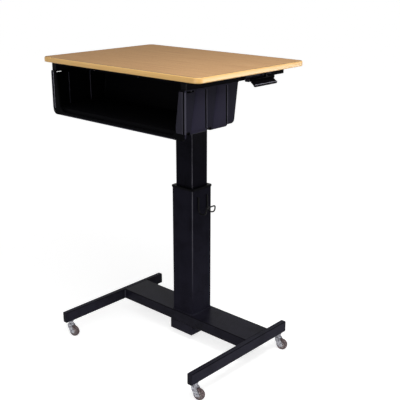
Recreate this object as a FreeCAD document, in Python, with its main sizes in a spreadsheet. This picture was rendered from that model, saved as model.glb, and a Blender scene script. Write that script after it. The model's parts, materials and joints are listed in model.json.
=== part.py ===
import FreeCAD, Part
import math
import os
import re
import Sketcher
from FreeCAD import Placement, Rotation, Vector

# Sit-stand school desk on an H base: swivel casters, a square telescopic column with a lockable
# gas spring, a steel top frame, a laminated top, an open book box and a release paddle.
# X points to the user's right, Y from the user to the back, Z up from the floor.
# The desk stands raised to its full height, and the top can go down by the lift travel.

doc = FreeCAD.newDocument("sit_stand_school_desk")

# Driving sizes, in millimetres and degrees
sizes = {
    # desktop
    "desktop_width": 711,
    "desktop_depth": 508,
    "desktop_thickness": 17,
    "desktop_corner": 22,
    "edge_band_width": 4,
    "edge_round": 3.5,
    "laminate_thickness": 1,
    "backing_thickness": 0.8,
    "edge_flat": 0.5,
    "low_height": 635,
    "lift_travel": 400,
    # feet and crossbar
    "foot_spread": 654,
    "foot_length": 498,
    "foot_width": 20,
    "foot_height": 40,
    "foot_wall": 2,
    "foot_corner": 3,
    "crossbar_margin": 10,
    "crossbar_height": 40,
    "crossbar_wall": 2,
    "crossbar_corner": 3,
    "cap_flange": 3,
    "cap_plug": 14,
    "cap_clearance": 0.2,
    "plug_gap": 4,
    "weld_leg": 4,
    "weld_flat": 0.4,
    # column
    "column_setback": 98,
    "outer_tube": 100,
    "outer_wall": 2.5,
    "outer_corner": 6,
    "inner_tube": 80,
    "inner_wall": 2,
    "inner_corner": 5,
    "socket_depth": 36,
    "socket_wall": 3,
    "floor_gap": 13,
    "head_gap": 5,
    "collar_sleeve": 40,
    "collar_lip": 2.5,
    "collar_height": 7,
    "collar_round": 2,
    "collar_fit": 0.1,
    "shoe_height": 40,
    "shoe_lip": 4,
    "glide_clearance": 0.3,
    # bag hook
    "hook_wire": 5,
    "hook_gap": 46,
    "hook_below": 28,
    "hook_reach": 37,
    "hook_drop": 39,
    "hook_tip_rise": 9,
    "hook_bend": 4,
    "hook_tip_bend": 6,
    "wire_fit": 0.1,
    # casters
    "caster_angle": 12,
    "caster_trail": 14,
    "stem_height": 14,
    "stem_diameter": 8,
    "stem_engagement": 14,
    "stem_flange": 20,
    "stem_flange_thickness": 3,
    "stem_neck": 16,
    "stem_rivet": 12,
    "stem_rivet_thickness": 2.4,
    "insert_play": 2,
    "insert_height": 12,
    "wheel_diameter": 40,
    "wheel_width": 15,
    "tread_round": 2,
    "wheel_recess": 1.5,
    "hub_diameter": 16,
    "tread_depth": 4.5,
    "axle_diameter": 5,
    "axle_head": 8,
    "axle_head_thickness": 1.5,
    "wheel_gap": 1.3,
    "fork_plate": 2,
    "fork_half_length": 10,
    "fork_eye": 7,
    "fork_skirt": 12,
    "fork_heel": 8.5,
    "fork_corner": 3,
    "fork_side_gap": 1,
    "swivel_clearance": 0.3,
    "running_fit": 0.05,
    # top frame
    "rail_side_inset": 49.5,
    "rail_width": 20,
    "rail_height": 24,
    "rail_wall": 1.5,
    "rail_corner": 2.5,
    "rail_front_inset": 4,
    "rail_back_inset": 47,
    "rail_cap": 2,
    "cross_rail_spacing": 90,
    "bar_width": 20,
    "bar_thickness": 5,
    "bar_margin": 10,
    "bar_screw_spacing": 202,
    "head_plate_margin": 20,
    "head_plate_thickness": 6,
    "head_plate_corner": 8,
    "head_hole": 22,
    "head_bolt": 8,
    "head_bolt_spacing": 150,
    "bolt_head": 13,
    "bolt_head_height": 5.3,
    "bolt_length": 18,
    "bolt_nut_height": 6.5,
    "hole_clearance": 0.5,
    # screws
    "screw_diameter": 4,
    "screw_head": 8,
    "screw_head_height": 2.6,
    "screw_bite": 12,
    "screw_fit": 0.1,
    "screw_gap": 1,
    # book box
    "box_inset": 2,
    "box_depth": 240,
    "box_height": 126,
    "box_wall": 3,
    "box_corner": 8,
    "box_back_lean": 18,
    "box_back_round": 14,
    "box_flange": 20,
    "box_frame_top": 24,
    "box_frame_bottom": 41,
    "box_frame_corner": 26,
    "box_frame_outer_corner": 18,
    "box_lip_drop": 20,
    "box_lip_height": 10,
    "box_lip_depth": 12,
    "frame_flare": 3,
    "pilaster_slope": 0.075,
    "pilaster_top_width": 45,
    "pilaster_foot_width": 67,
    "pilaster_pitch": 92,
    "pilaster_end": 89,
    "rib_width": 2,
    "rib_depth": 2,
    "slot_length": 30,
    "slot_height": 5,
    "slot_start": 9,
    "box_screw_start": 34,
    # gas spring
    "gas_diameter": 28,
    "gas_wall": 2,
    "gas_base": 5,
    "rod_gap": 14,
    "stud_diameter": 10,
    "seat_diameter": 40,
    "seat_height": 13,
    "stud_length": 10,
    "rod_diameter": 10,
    "rod_bore_depth": 50,
    "rod_stub": 6,
    "guide_depth": 12,
    "guide_flange": 3,
    "piston_height": 15,
    "piston_clearance": 0.3,
    "piston_stop_gap": 8,
    "bridge_thickness": 6,
    "bridge_drop": 16,
    "rod_nut": 17,
    "rod_nut_height": 8,
    # release linkage
    "pin_diameter": 4,
    "pin_button": 6,
    "pin_button_height": 1.5,
    "pin_room": 7.3,
    "rod_recess": 5,
    "push_rod": 4,
    "push_rod_offset": 6,
    "push_rod_drop": 7,
    "eye_diameter": 9,
    "eye_clearance": 0.6,
    "link_thickness": 4,
    "rocker_arm": 18,
    "rocker_hub": 8,
    "rocker_hub_length": 10,
    "rocker_nose": 6,
    "rocker_bar": 4,
    "rocker_floor_gap": 0.5,
    "rocker_gap": 0.2,
    "ear_thickness": 3,
    "ear_gap": 1,
    "ear_length": 12,
    "ear_margin": 5,
    "paddle_crank": 16,
    "paddle_lead": 80,
    "paddle_width": 111,
    "paddle_reach": 20,
    "paddle_drop": 16,
    "paddle_plate": 5,
    "paddle_lip": 8,
    "paddle_hub": 8,
    "paddle_pin": 5,
    "paddle_gap": 4.5,
    "paddle_hub_overhang": 4,
    "rod_hole_gap": 2,
    "bracket_top_gap": 2.5,
}

# Places, worked out from the sizes
places = {
    "top_height": "low_height + lift_travel",
    "desktop_bottom": "top_height - desktop_thickness",
    "edge_radius": "min(edge_round; edge_band_width - edge_flat)",
    "front": "-desktop_depth / 2",
    "rail_bottom": "desktop_bottom - rail_height",
    "rail_mid": "desktop_bottom - rail_height / 2",
    "rail_outer": "desktop_width / 2 - rail_side_inset",
    "rail_inner": "rail_outer - rail_width",
    "rail_line": "rail_outer - rail_width / 2",
    "rail_front": "front + rail_front_inset",
    "rail_back": "desktop_depth / 2 - rail_back_inset",
    "foot_inner": "foot_spread / 2 - foot_width",
    "foot_line": "foot_spread / 2 - foot_width / 2",
    "fork_top": "wheel_diameter + wheel_gap + stem_rivet_thickness + swivel_clearance + fork_plate",
    "caster_height": "fork_top + stem_height",
    "foot_mid": "caster_height + foot_height / 2",
    "foot_top": "caster_height + foot_height",
    "foot_back": "front + foot_length",
    "foot_floor": "caster_height + foot_wall",
    "crossbar_depth": "outer_tube + 2 * crossbar_margin",
    "crossbar_front": "column_setback - crossbar_depth / 2",
    "crossbar_back": "column_setback + crossbar_depth / 2",
    "crossbar_bottom": "foot_top - crossbar_height",
    "crossbar_mid": "foot_top - crossbar_height / 2",
    "socket_bottom": "crossbar_bottom - socket_depth",
    "column_bottom": "socket_bottom + socket_wall",
    "outer_top": "head_bottom - lift_travel - head_gap - collar_height",
    "outer_bore": "outer_tube - 2 * outer_wall",
    "inner_bore": "inner_tube - 2 * inner_wall",
    "inner_bottom": "column_bottom + floor_gap + lift_travel",
    "head_top": "rail_bottom",
    "head_bottom": "rail_bottom - head_plate_thickness",
    "front_bar_line": "rail_front + bar_margin",
    "back_bar_line": "rail_back - bar_margin",
    "bar_bottom": "desktop_bottom - bar_thickness",
    "core_bottom": "desktop_bottom + backing_thickness",
    "core_top": "top_height - laminate_thickness",
    "box_half": "rail_outer - box_inset",
    "box_back": "front + box_depth",
    "box_rim": "rail_bottom",
    "box_bottom": "box_rim - box_height",
    "flange_bottom": "box_rim - box_wall",
    "flange_inner": "box_half - box_flange",
    "box_screw_line": "box_half - box_wall - screw_head / 2 - screw_gap",
    "box_screw_pitch": "(box_depth - 2 * box_screw_start) / 2",
    "lip_bottom": "box_bottom - box_lip_drop",
    "sill": "lip_bottom + box_lip_height",
    "pilaster_depth": "pilaster_slope * pilaster_foot_width",
    "lip_back": "front + box_lip_depth",
    "frame_half": "box_half + frame_flare",
    "mouth_half": "frame_half - box_frame_bottom",
    "lip_half": "frame_half - box_frame_outer_corner",
    "insert_diameter": "foot_width - 2 * foot_wall - insert_play",
    "caster_inset": "cap_flange + cap_plug + plug_gap + insert_diameter / 2",
    "stem_top": "foot_floor + stem_engagement",
    "wheel_radius": "wheel_diameter / 2",
    "rim_radius": "wheel_radius - tread_depth",
    "fork_inside": "wheel_width / 2 + fork_side_gap",
    "fork_outside": "wheel_width / 2 + fork_side_gap + fork_plate",
    "gas_bottom": "column_bottom + seat_height",
    "gas_bore": "gas_diameter - 2 * gas_wall",
    "gas_top": "bridge_bottom - rod_nut_height - lift_travel - rod_gap - guide_flange",
    "piston_top": "gas_top - guide_depth - piston_stop_gap",
    "piston_bottom": "piston_top - piston_height",
    "bridge_top": "head_bottom - bridge_drop",
    "bridge_bottom": "head_bottom - bridge_drop - bridge_thickness",
    "rod_top": "head_top - rod_recess",
    "rod_bore": "pin_diameter + 2 * running_fit",
    "rod_bore_bottom": "rod_top - rod_bore_depth",
    "pin_bottom": "rod_bore_bottom + pin_room",
    "rocker_line": "head_top + rocker_hub / 2 + rocker_floor_gap",
    "pin_top": "rocker_line - rocker_nose / 2 - rocker_gap",
    "push_line": "desktop_bottom - push_rod_drop",
    "push_rod_y": "column_setback - push_rod_offset",
    "ear_inside": "rocker_hub_length / 2 + ear_gap",
    "ear_outside": "rocker_hub_length / 2 + ear_gap + ear_thickness",
    "paddle_line": "push_line - paddle_crank",
    "paddle_axis": "rail_outer + ear_thickness + paddle_gap + paddle_hub / 2",
    "paddle_front": "column_setback - paddle_lead",
    "paddle_back": "paddle_front + paddle_width",
    "hub_front": "paddle_front - paddle_hub_overhang",
    "hub_back": "paddle_back + paddle_hub_overhang",
    "bracket_front": "hub_front - ear_gap - ear_thickness",
    "bracket_back": "hub_back + ear_gap + ear_thickness",
    "rod_hole": "push_rod + 2 * rod_hole_gap",
    "hook_line": "outer_tube / 2 + hook_bend",
    "hook_top": "outer_top - hook_below",
}

sheet = doc.addObject("Spreadsheet::Sheet", "Sizes")
for row, (name, value) in enumerate(sizes.items(), start=1):
    sheet.set(f"A{row}", name)
    sheet.set(f"B{row}", str(value))
    sheet.setAlias(f"B{row}", name)
doc.recompute()

# Reads off one size expression at a time
gauge = doc.addObject("App::FeaturePython", "Gauge")
gauge.addProperty("App::PropertyFloat", "Reading")

# Each finished sub-part, by the name of its node
nodes = {}

# Turn that lays a local Z axis along X, Y or Z
turns = {"x": (Vector(0, 1, 0), 90), "y": (Vector(1, 0, 0), -90), "z": (Vector(0, 0, 1), 0)}

# How far a cutting piece stands past the face it opens
overcut = 1


def sized(text):
    # spells out place names, and points each size name at its cell
    def spell(match):
        word = match.group(0)
        if word in places:
            return "(" + sized(places[word]) + ")"
        return "Sizes." + word if word in sizes else word
    return re.sub(r"[a-z][a-z_]*", spell, text)


def number(text):
    # value of a size expression now
    gauge.setExpression("Reading", sized(text))
    gauge.recompute()
    return gauge.Reading


def node(name, piece):
    piece.Label = name
    nodes[name] = piece
    return piece


def settle(piece, at):
    for axis, text in zip("xyz", at):
        piece.setExpression("Placement.Base." + axis, sized(text))
    return piece


def block(name, x, y, z):
    # square block from and to the given places
    piece = doc.addObject("Part::Box", name)
    for side, (low, high) in zip(("Length", "Width", "Height"), (x, y, z)):
        piece.setExpression(side, sized(f"({high}) - ({low})"))
    return settle(piece, (x[0], y[0], z[0]))


def round_bar(name, axis, diameter, start, length):
    piece = doc.addObject("Part::Cylinder", name)
    piece.setExpression("Radius", sized(f"({diameter}) / 2"))
    piece.setExpression("Height", sized(length))
    piece.Placement = Placement(Vector(), Rotation(*turns[axis]))
    return settle(piece, start)


def ball(name, diameter, at):
    piece = doc.addObject("Part::Sphere", name)
    piece.setExpression("Radius", sized(f"({diameter}) / 2"))
    return settle(piece, at)


def joined(name, *pieces):
    piece = doc.addObject("Part::MultiFuse", name)
    piece.Shapes = list(pieces)
    piece.Refine = True
    return piece


def cut(name, base, *tools):
    piece = doc.addObject("Part::Cut", name)
    piece.Base = base
    piece.Tool = tools[0] if len(tools) == 1 else joined(name + "_tools", *tools)
    return piece


def group(name, pieces):
    piece = doc.addObject("Part::Compound", name)
    piece.Links = list(pieces)
    return node(name, piece)


def rectangle(centre, size):
    (u, v), (width, height) = centre, size
    quarters = (("-", "-"), ("+", "-"), ("+", "+"), ("-", "+"))
    return [(f"{u} {across} ({width}) / 2", f"{v} {up} ({height}) / 2") for across, up in quarters]


def hexagon(centre, across):
    (u, v), reach = centre, f"({across}) / sqrt(3)"
    return [(f"{u} + {reach} * cos({60 * step})", f"{v} + {reach} * sin({60 * step})") for step in range(6)]


def draw(body, plane, level, loops):
    # a loop is a list of corner points, or (u, v, diameter) for a circle
    sketch = body.newObject("Sketcher::SketchObject", "Outline")
    base = [f for f in body.Origin.OriginFeatures if f.Role == plane.upper() + "_Plane"][0]
    sketch.AttachmentSupport = (base, [""])
    sketch.MapMode = "FlatFace"
    sketch.setExpression("AttachmentOffset.Base.z", sized(f"-({level})" if plane == "xz" else level))

    def pin_down(kind, text, *where):
        index = sketch.addConstraint(Sketcher.Constraint(kind, *where))
        sketch.setExpression(f"Constraints[{index}]", sized(text))

    for loop in loops:
        first = sketch.GeometryCount
        if isinstance(loop, tuple):
            u, v, diameter = loop
            sketch.addGeometry(Part.Circle(Vector(), Vector(0, 0, 1), 1), False)
            pin_down("Diameter", diameter, first, 2.0)
            pin_down("DistanceX", u, -1, 1, first, 3, 0.0)
            pin_down("DistanceY", v, -1, 1, first, 3, 0.0)
            continue
        count = len(loop)
        steps = [math.tau * step / count for step in range(count)]
        ring = [Vector(math.cos(step), math.sin(step), 0) for step in steps]
        for step in range(count):
            sketch.addGeometry(Part.LineSegment(ring[step], ring[(step + 1) % count]), False)
        for step in range(count):
            following = first + (step + 1) % count
            sketch.addConstraint(Sketcher.Constraint("Coincident", first + step, 2, following, 1))
        for step, (u, v) in enumerate(loop):
            pin_down("DistanceX", u, -1, 1, first + step, 1, ring[step].x)
            pin_down("DistanceY", v, -1, 1, first + step, 1, ring[step].y)
    return sketch


def new_body(name):
    return doc.addObject("PartDesign::Body", name)


def pad(body, plane, start, end, *loops):
    # material between two levels along the plane's own axis
    feature = body.newObject("PartDesign::Pad", "Pad")
    feature.Profile = draw(body, plane, start, loops)
    feature.setExpression("Length", sized(f"({end}) - ({start})"))
    feature.Reversed = plane == "xz"
    return body


def pocket(body, plane, start, end, *loops):
    # cut between two levels along the plane's own axis
    feature = body.newObject("PartDesign::Pocket", "Pocket")
    feature.Profile = draw(body, plane, start, loops)
    feature.setExpression("Length", sized(f"({end}) - ({start})"))
    feature.Reversed = plane != "xz"
    return body


def turned(name, plane, profile, at=("0", "0", "0")):
    # solid of revolution about Z, or about Y when drawn in the YZ plane
    body = new_body(name)
    feature = body.newObject("PartDesign::Revolution", "Revolution")
    sketch = draw(body, plane, "0", [profile])
    feature.Profile = sketch
    feature.ReferenceAxis = (sketch, ["H_Axis" if plane == "yz" else "V_Axis"])
    feature.Angle = 360
    return settle(body, at)


def runs(edge, axis):
    # straight edge along the axis
    if not isinstance(edge.Curve, Part.Line):
        return False
    return abs(abs(getattr(edge.Curve.Direction, axis)) - 1) < 1e-6


def at_limit(edge, box, axis, end=None):
    # edge lies on the low or high side of the box across the axis
    place = getattr(edge.CenterOfMass, axis)
    low, high = getattr(box, axis.upper() + "Min"), getattr(box, axis.upper() + "Max")
    limits = {"low": [low], "high": [high], None: [low, high]}[end]
    return any(abs(place - limit) < 1e-4 for limit in limits)


def dress(body, kind, size_name, size, chosen):
    # fillet or chamfer on the chosen edges of the body so far
    doc.recompute()
    base = body.Tip
    box = base.Shape.BoundBox
    picked = [f"Edge{i}" for i, edge in enumerate(base.Shape.Edges, start=1) if chosen(edge, box)]
    feature = body.newObject("PartDesign::" + kind, kind)
    feature.Base = (base, picked)
    feature.setExpression(size_name, sized(size))
    return body


def fillet(body, radius, chosen):
    return dress(body, "Fillet", "Radius", radius, chosen)


def outer_corner_edges(axis):
    across = [other for other in "xyz" if other != axis]
    return lambda edge, box: runs(edge, axis) and all(at_limit(edge, box, side) for side in across)


def inner_corner_edges(axis):
    across = [other for other in "xyz" if other != axis]
    return lambda edge, box: runs(edge, axis) and not any(at_limit(edge, box, side) for side in across)


def tube(name, plane, centre, size, wall, corner, start, end):
    # rectangular steel tube with rounded corners inside and out
    axis = [side for side in "xyz" if side not in plane][0]
    inner = [f"{side} - 2 * {wall}" for side in size]
    body = pad(new_body(name), plane, start, end, rectangle(centre, size), rectangle(centre, inner))
    fillet(body, corner, outer_corner_edges(axis))
    return fillet(body, f"{corner} - {wall}", inner_corner_edges(axis))


def end_cap(name, centre, size, wall, corner, tube_end, flange, outward):
    # plastic plug in a tube's end along Y, with a flange over the cut edge
    bore = [f"{side} - 2 * {wall} - 2 * cap_clearance" for side in size]
    face = f"{tube_end} + {outward} * {flange}"
    inside = f"{tube_end} - {outward} * cap_plug"
    levels = (tube_end, face) if outward > 0 else (face, tube_end)
    plug = (inside, tube_end) if outward > 0 else (tube_end, inside)
    body = pad(new_body(name), "xz", *levels, rectangle(centre, size))
    fillet(body, corner, outer_corner_edges("y"))
    pad(body, "xz", *plug, rectangle(centre, bore))
    return fillet(body, f"{corner} - {wall}", inner_corner_edges("y"))


# Feet, their caps and the crossbar
foot_rows = {"left": "-foot_line", "right": "foot_line"}
caster_rows = {"front": "front + caster_inset", "rear": "foot_back - caster_inset"}
foot_size = ("foot_width", "foot_height")
foot_caps = []
for side, line in foot_rows.items():
    foot = tube(side + "_foot", "xz", (line, "foot_mid"), foot_size, "foot_wall", "foot_corner",
                "front + cap_flange", "foot_back - cap_flange")
    stem_hole = "stem_diameter + 2 * screw_fit"
    pocket(foot, "xy", "caster_height", "foot_floor",
           *[(line, row, stem_hole) for row in caster_rows.values()])
    node(side + "_foot", foot)
    foot_ends = (("front", "front + cap_flange", -1), ("rear", "foot_back - cap_flange", 1))
    for end, tube_end, outward in foot_ends:
        foot_caps.append(end_cap(f"{side}_{end}_foot_cap", (line, "foot_mid"), foot_size, "foot_wall",
                                 "foot_corner", tube_end, "cap_flange", outward))
group("foot_end_caps", foot_caps)

column = ("0", "column_setback")
crossbar = tube("crossbar", "yz", ("column_setback", "crossbar_mid"), ("crossbar_depth", "crossbar_height"),
                "crossbar_wall", "crossbar_corner", "-foot_inner", "foot_inner")
pocket(crossbar, "xy", "crossbar_bottom", "foot_top", rectangle(column, ("outer_tube", "outer_tube")))
node("crossbar", crossbar)

# Weld beads in the corners of feet and crossbar, and round the column's foot
beads = []
for side, way in (("left", -1), ("right", 1)):
    for end, line, outward in (("front", "crossbar_front", -1), ("rear", "crossbar_back", 1)):
        wall = f"{way} * foot_inner"
        corners = [(wall, line), (f"{wall} - {way} * weld_leg", line),
                   (wall, f"{line} + {outward} * weld_leg")]
        beads.append(pad(new_body(f"{side}_{end}_bead"), "xy", "crossbar_bottom + crossbar_corner",
                         "foot_top - crossbar_corner", corners))
group("frame_welds", beads)
bead_size = "outer_tube + 2 * weld_leg"
column_outline = rectangle(column, ("outer_tube", "outer_tube"))
column_weld = pad(new_body("column_weld"), "xy", "foot_top", "foot_top + weld_leg",
                  rectangle(column, (bead_size, bead_size)), column_outline)
dress(column_weld, "Chamfer", "Size", "weld_leg - weld_flat",
      lambda edge, box: at_limit(edge, box, "z", "high")
      and (at_limit(edge, box, "x") or at_limit(edge, box, "y")))
node("column_weld", column_weld)

# Socket under the crossbar and the two column tubes
socket = pad(new_body("column_socket"), "xy", "socket_bottom", "crossbar_bottom",
             rectangle(column, ("outer_tube + 2 * socket_wall", "crossbar_depth")))
pocket(socket, "xy", "column_bottom", "crossbar_bottom",
       rectangle(column, ("outer_tube", "crossbar_depth - 2 * socket_wall")))
node("column_socket", socket)

outer_column = tube("outer_column", "xy", column, ("outer_tube", "outer_tube"), "outer_wall",
                    "outer_corner", "column_bottom", "outer_top")
hook_rows = ["column_setback - hook_gap / 2", "column_setback + hook_gap / 2"]
pocket(outer_column, "yz", "outer_bore / 2", "outer_tube / 2",
       *[(row, "hook_top", "hook_wire + 2 * wire_fit") for row in hook_rows])
node("outer_column", outer_column)

node("inner_column", tube("inner_column", "xy", column, ("inner_tube", "inner_tube"), "inner_wall",
                          "inner_corner", "inner_bottom", "head_bottom"))

# Collar bush in the outer tube's mouth, and the glide shoe on the inner tube's foot
sleeve = "outer_bore - 2 * collar_fit"
mouth = "inner_tube + 2 * glide_clearance"
lip = "outer_tube + 2 * collar_lip"
collar = pad(new_body("column_collar"), "xy", "outer_top - collar_sleeve", "outer_top",
             rectangle(column, (sleeve, sleeve)), rectangle(column, (mouth, mouth)))
fillet(collar, "outer_corner", outer_corner_edges("z"))
pad(collar, "xy", "outer_top", "outer_top + collar_height",
    rectangle(column, (lip, lip)), rectangle(column, (mouth, mouth)))
fillet(collar, "outer_corner + collar_lip", outer_corner_edges("z"))
fillet(collar, "collar_round",
       lambda edge, box: at_limit(edge, box, "z", "high") and at_limit(edge, box, "x"))
node("column_collar", collar)

shoe_side = "outer_bore - 2 * glide_clearance"
shoe = pad(new_body("glide_shoe"), "xy", "inner_bottom", "inner_bottom + shoe_height",
           rectangle(column, (shoe_side, shoe_side)), rectangle(column, ("inner_tube", "inner_tube")))
pad(shoe, "xy", "inner_bottom - shoe_lip", "inner_bottom",
    rectangle(column, (shoe_side, shoe_side)), rectangle(column, ("inner_bore", "inner_bore")))
fillet(shoe, "outer_corner", outer_corner_edges("z"))
node("glide_shoe", shoe)


# Bag hook: one bent wire with two legs, a J curve on each and a bar across the tips
def bag_hook():
    near, far = [number(row) for row in hook_rows]
    leg = number("hook_line")
    tip = leg + sheet.hook_reach
    turn = sheet.hook_reach / 2
    top = number("hook_top")
    low = top - sheet.hook_drop
    high = low + sheet.hook_tip_rise
    bend, tip_bend = sheet.hook_bend, sheet.hook_tip_bend
    slant = math.sqrt(0.5)

    def half(y):
        start = Vector(number("outer_bore / 2"), y, top)
        return [
            Part.LineSegment(start, Vector(leg - bend, y, top)),
            Part.Arc(Vector(leg - bend, y, top),
                     Vector(leg - bend + bend * slant, y, top - bend + bend * slant),
                     Vector(leg, y, top - bend)),
            Part.LineSegment(Vector(leg, y, top - bend), Vector(leg, y, low)),
            Part.Arc(Vector(leg, y, low), Vector(leg + turn, y, low - turn), Vector(tip, y, low)),
            Part.LineSegment(Vector(tip, y, low), Vector(tip, y, high - tip_bend)),
        ]

    def tip_corner(y, way):
        inner = Vector(tip, y + way * tip_bend, high)
        middle = Vector(tip, y + way * tip_bend * (1 - slant), high - tip_bend + tip_bend * slant)
        return Part.Arc(Vector(tip, y, high - tip_bend), middle, inner)

    across = Part.LineSegment(Vector(tip, near + tip_bend, high), Vector(tip, far - tip_bend, high))
    runs_of_wire = half(near) + [tip_corner(near, 1), across, tip_corner(far, -1)] + half(far)[::-1]
    path = Part.Wire(Part.__sortEdges__([run.toShape() for run in runs_of_wire]))
    end = Part.Circle(Vector(number("outer_bore / 2"), near, top), Vector(1, 0, 0), sheet.hook_wire / 2)
    hook = doc.addObject("Part::Feature", "bag_hook")
    hook.Shape = path.makePipeShell([Part.Wire([end.toShape()])], True, False)
    return hook


node("bag_hook", bag_hook())

# Gas spring: seat on the socket floor, cylinder, guide, rod and piston
gas_at = ("0", "column_setback", "0")
node("gas_spring_seat", turned("gas_spring_seat", "xz", [
    ("stud_diameter / 2 + screw_fit", "column_bottom"), ("seat_diameter / 2", "column_bottom"),
    ("seat_diameter / 2", "gas_bottom"), ("stud_diameter / 2 + screw_fit", "gas_bottom")], gas_at))
node("gas_cylinder", turned("gas_cylinder", "xz", [
    ("0", "gas_bottom - stud_length"), ("stud_diameter / 2", "gas_bottom - stud_length"),
    ("stud_diameter / 2", "gas_bottom"), ("gas_diameter / 2", "gas_bottom"),
    ("gas_diameter / 2", "gas_top"), ("gas_bore / 2", "gas_top"),
    ("gas_bore / 2", "gas_bottom + gas_base"), ("0", "gas_bottom + gas_base")], gas_at))
guide_bore = "rod_diameter / 2 + running_fit"
node("rod_guide", turned("rod_guide", "xz", [
    (guide_bore, "gas_top - guide_depth"), ("gas_bore / 2 - running_fit", "gas_top - guide_depth"),
    ("gas_bore / 2 - running_fit", "gas_top"), ("gas_diameter / 2", "gas_top"),
    ("gas_diameter / 2", "gas_top + guide_flange"), (guide_bore, "gas_top + guide_flange")], gas_at))
node("gas_rod", turned("gas_rod", "xz", [
    ("0", "piston_bottom"), ("rod_stub / 2", "piston_bottom"), ("rod_stub / 2", "piston_top"),
    ("rod_diameter / 2", "piston_top"), ("rod_diameter / 2", "rod_top"), ("rod_bore / 2", "rod_top"),
    ("rod_bore / 2", "rod_bore_bottom"), ("0", "rod_bore_bottom")], gas_at))
node("gas_piston", turned("gas_piston", "xz", [
    ("rod_stub / 2 + running_fit", "piston_bottom"), ("gas_bore / 2 - piston_clearance", "piston_bottom"),
    ("gas_bore / 2 - piston_clearance", "piston_top"),
    ("rod_stub / 2 + running_fit", "piston_top")], gas_at))

rod_passage = (*column, "rod_diameter + 2 * screw_fit")
bridge = pad(new_body("rod_bridge"), "xy", "bridge_bottom", "bridge_top",
             rectangle(column, ("inner_bore", "inner_bore")), rod_passage)
node("rod_bridge", fillet(bridge, "inner_corner", outer_corner_edges("z")))
rod_nuts = []
for place, start, end in (("upper", "bridge_top", "bridge_top + rod_nut_height"),
                          ("lower", "bridge_bottom - rod_nut_height", "bridge_bottom")):
    rod_nuts.append(pad(new_body(place + "_rod_nut"), "xy", start, end,
                        hexagon(column, "rod_nut"), rod_passage))
group("rod_nuts", rod_nuts)

# Side rails with their plugs, cross rails, flat bars and the column's head plate
rail_size = ("rail_width", "rail_height")
box_screw_rows = [f"front + box_screw_start + {step} * box_screw_pitch" for step in range(3)]
rail_caps = []
for side, way in (("left", -1), ("right", 1)):
    line = f"{way} * rail_line"
    screw_line = f"{way} * box_screw_line"
    rail = tube(side + "_side_rail", "xz", (line, "rail_mid"), rail_size, "rail_wall", "rail_corner",
                "rail_front + rail_cap", "rail_back - rail_cap")
    pocket(rail, "xy", "rail_bottom", "rail_bottom + rail_wall",
           *[(screw_line, row, "screw_diameter + 2 * screw_fit") for row in box_screw_rows])
    if side == "right":
        pocket(rail, "yz", "rail_inner", "rail_outer", ("push_rod_y", "push_line", "rod_hole"))
    node(side + "_side_rail", rail)
    rail_ends = (("front", "rail_front + rail_cap", -1), ("rear", "rail_back - rail_cap", 1))
    for end, tube_end, outward in rail_ends:
        rail_caps.append(end_cap(f"{side}_{end}_rail_cap", (line, "rail_mid"), rail_size, "rail_wall",
                                 "rail_corner", tube_end, "rail_cap", outward))
group("rail_end_caps", rail_caps)

cross_rows = {"front": "column_setback - cross_rail_spacing / 2",
              "rear": "column_setback + cross_rail_spacing / 2"}
bolt_lines = ["-head_bolt_spacing / 2", "head_bolt_spacing / 2"]
bolt_hole = "head_bolt + hole_clearance"
for end, row in cross_rows.items():
    rail = tube(end + "_cross_rail", "yz", (row, "rail_mid"), rail_size, "rail_wall", "rail_corner",
                "-rail_inner", "rail_inner")
    pocket(rail, "xy", "rail_bottom", "rail_bottom + rail_wall",
           *[(line, row, bolt_hole) for line in bolt_lines])
    node(end + "_cross_rail", rail)

bar_rows = {"front": "front_bar_line", "rear": "back_bar_line"}
bar_screw_lines = ["-bar_screw_spacing / 2", "bar_screw_spacing / 2"]
for end, row in bar_rows.items():
    flat = pad(new_body(end + "_flat_bar"), "xy", "bar_bottom", "desktop_bottom",
               rectangle(("0", row), ("2 * rail_inner", "bar_width")),
               *[(line, row, "screw_diameter + hole_clearance") for line in bar_screw_lines])
    node(end + "_flat_bar", flat)

head_bolt_places = [(line, row) for line in bolt_lines for row in cross_rows.values()]
head_plate_size = [f"{spacing} + 2 * head_plate_margin"
                   for spacing in ("head_bolt_spacing", "cross_rail_spacing")]
head_plate = pad(new_body("head_plate"), "xy", "head_bottom", "head_top",
                 rectangle(column, head_plate_size), (*column, "head_hole"),
                 *[(*place, bolt_hole) for place in head_bolt_places])
node("head_plate", fillet(head_plate, "head_plate_corner", outer_corner_edges("z")))

head_bolts = []
head_nuts = []
for index, place in enumerate(head_bolt_places):
    bolt = pad(new_body(f"head_bolt_{index}"), "xy", "head_bottom - bolt_head_height", "head_bottom",
               hexagon(place, "bolt_head"))
    pad(bolt, "xy", "head_bottom", "head_bottom + bolt_length", (*place, "head_bolt"))
    head_bolts.append(bolt)
    head_nuts.append(pad(new_body(f"head_nut_{index}"), "xy", "rail_bottom + rail_wall",
                         "rail_bottom + rail_wall + bolt_nut_height", hexagon(place, "bolt_head"),
                         (*place, "head_bolt + 2 * screw_fit")))
group("head_bolts", head_bolts)
group("head_weld_nuts", head_nuts)


# Pan-head screw, pointing up, with the underside of its head at the given place
def screw(name, at, length):
    return turned(name, "xz", [
        ("0", "-screw_head_height"), ("screw_head / 2 - screw_head_height / 2", "-screw_head_height"),
        ("screw_head / 2", "-screw_head_height / 2"), ("screw_head / 2", "0"), ("screw_diameter / 2", "0"),
        ("screw_diameter / 2", f"{length} - screw_diameter / 2"), ("0", length)], at)


bar_screw_places = [(line, row) for line in bar_screw_lines for row in bar_rows.values()]
group("desktop_screws", [
    screw(f"desktop_screw_{index}", (*place, "bar_bottom"), "bar_thickness + screw_bite")
    for index, place in enumerate(bar_screw_places)])
box_screw_places = [(f"{way} * box_screw_line", row) for way in (-1, 1) for row in box_screw_rows]
group("box_screws", [
    screw(f"box_screw_{index}", (*place, "flange_bottom"), "box_wall + screw_bite")
    for index, place in enumerate(box_screw_places)])

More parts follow.
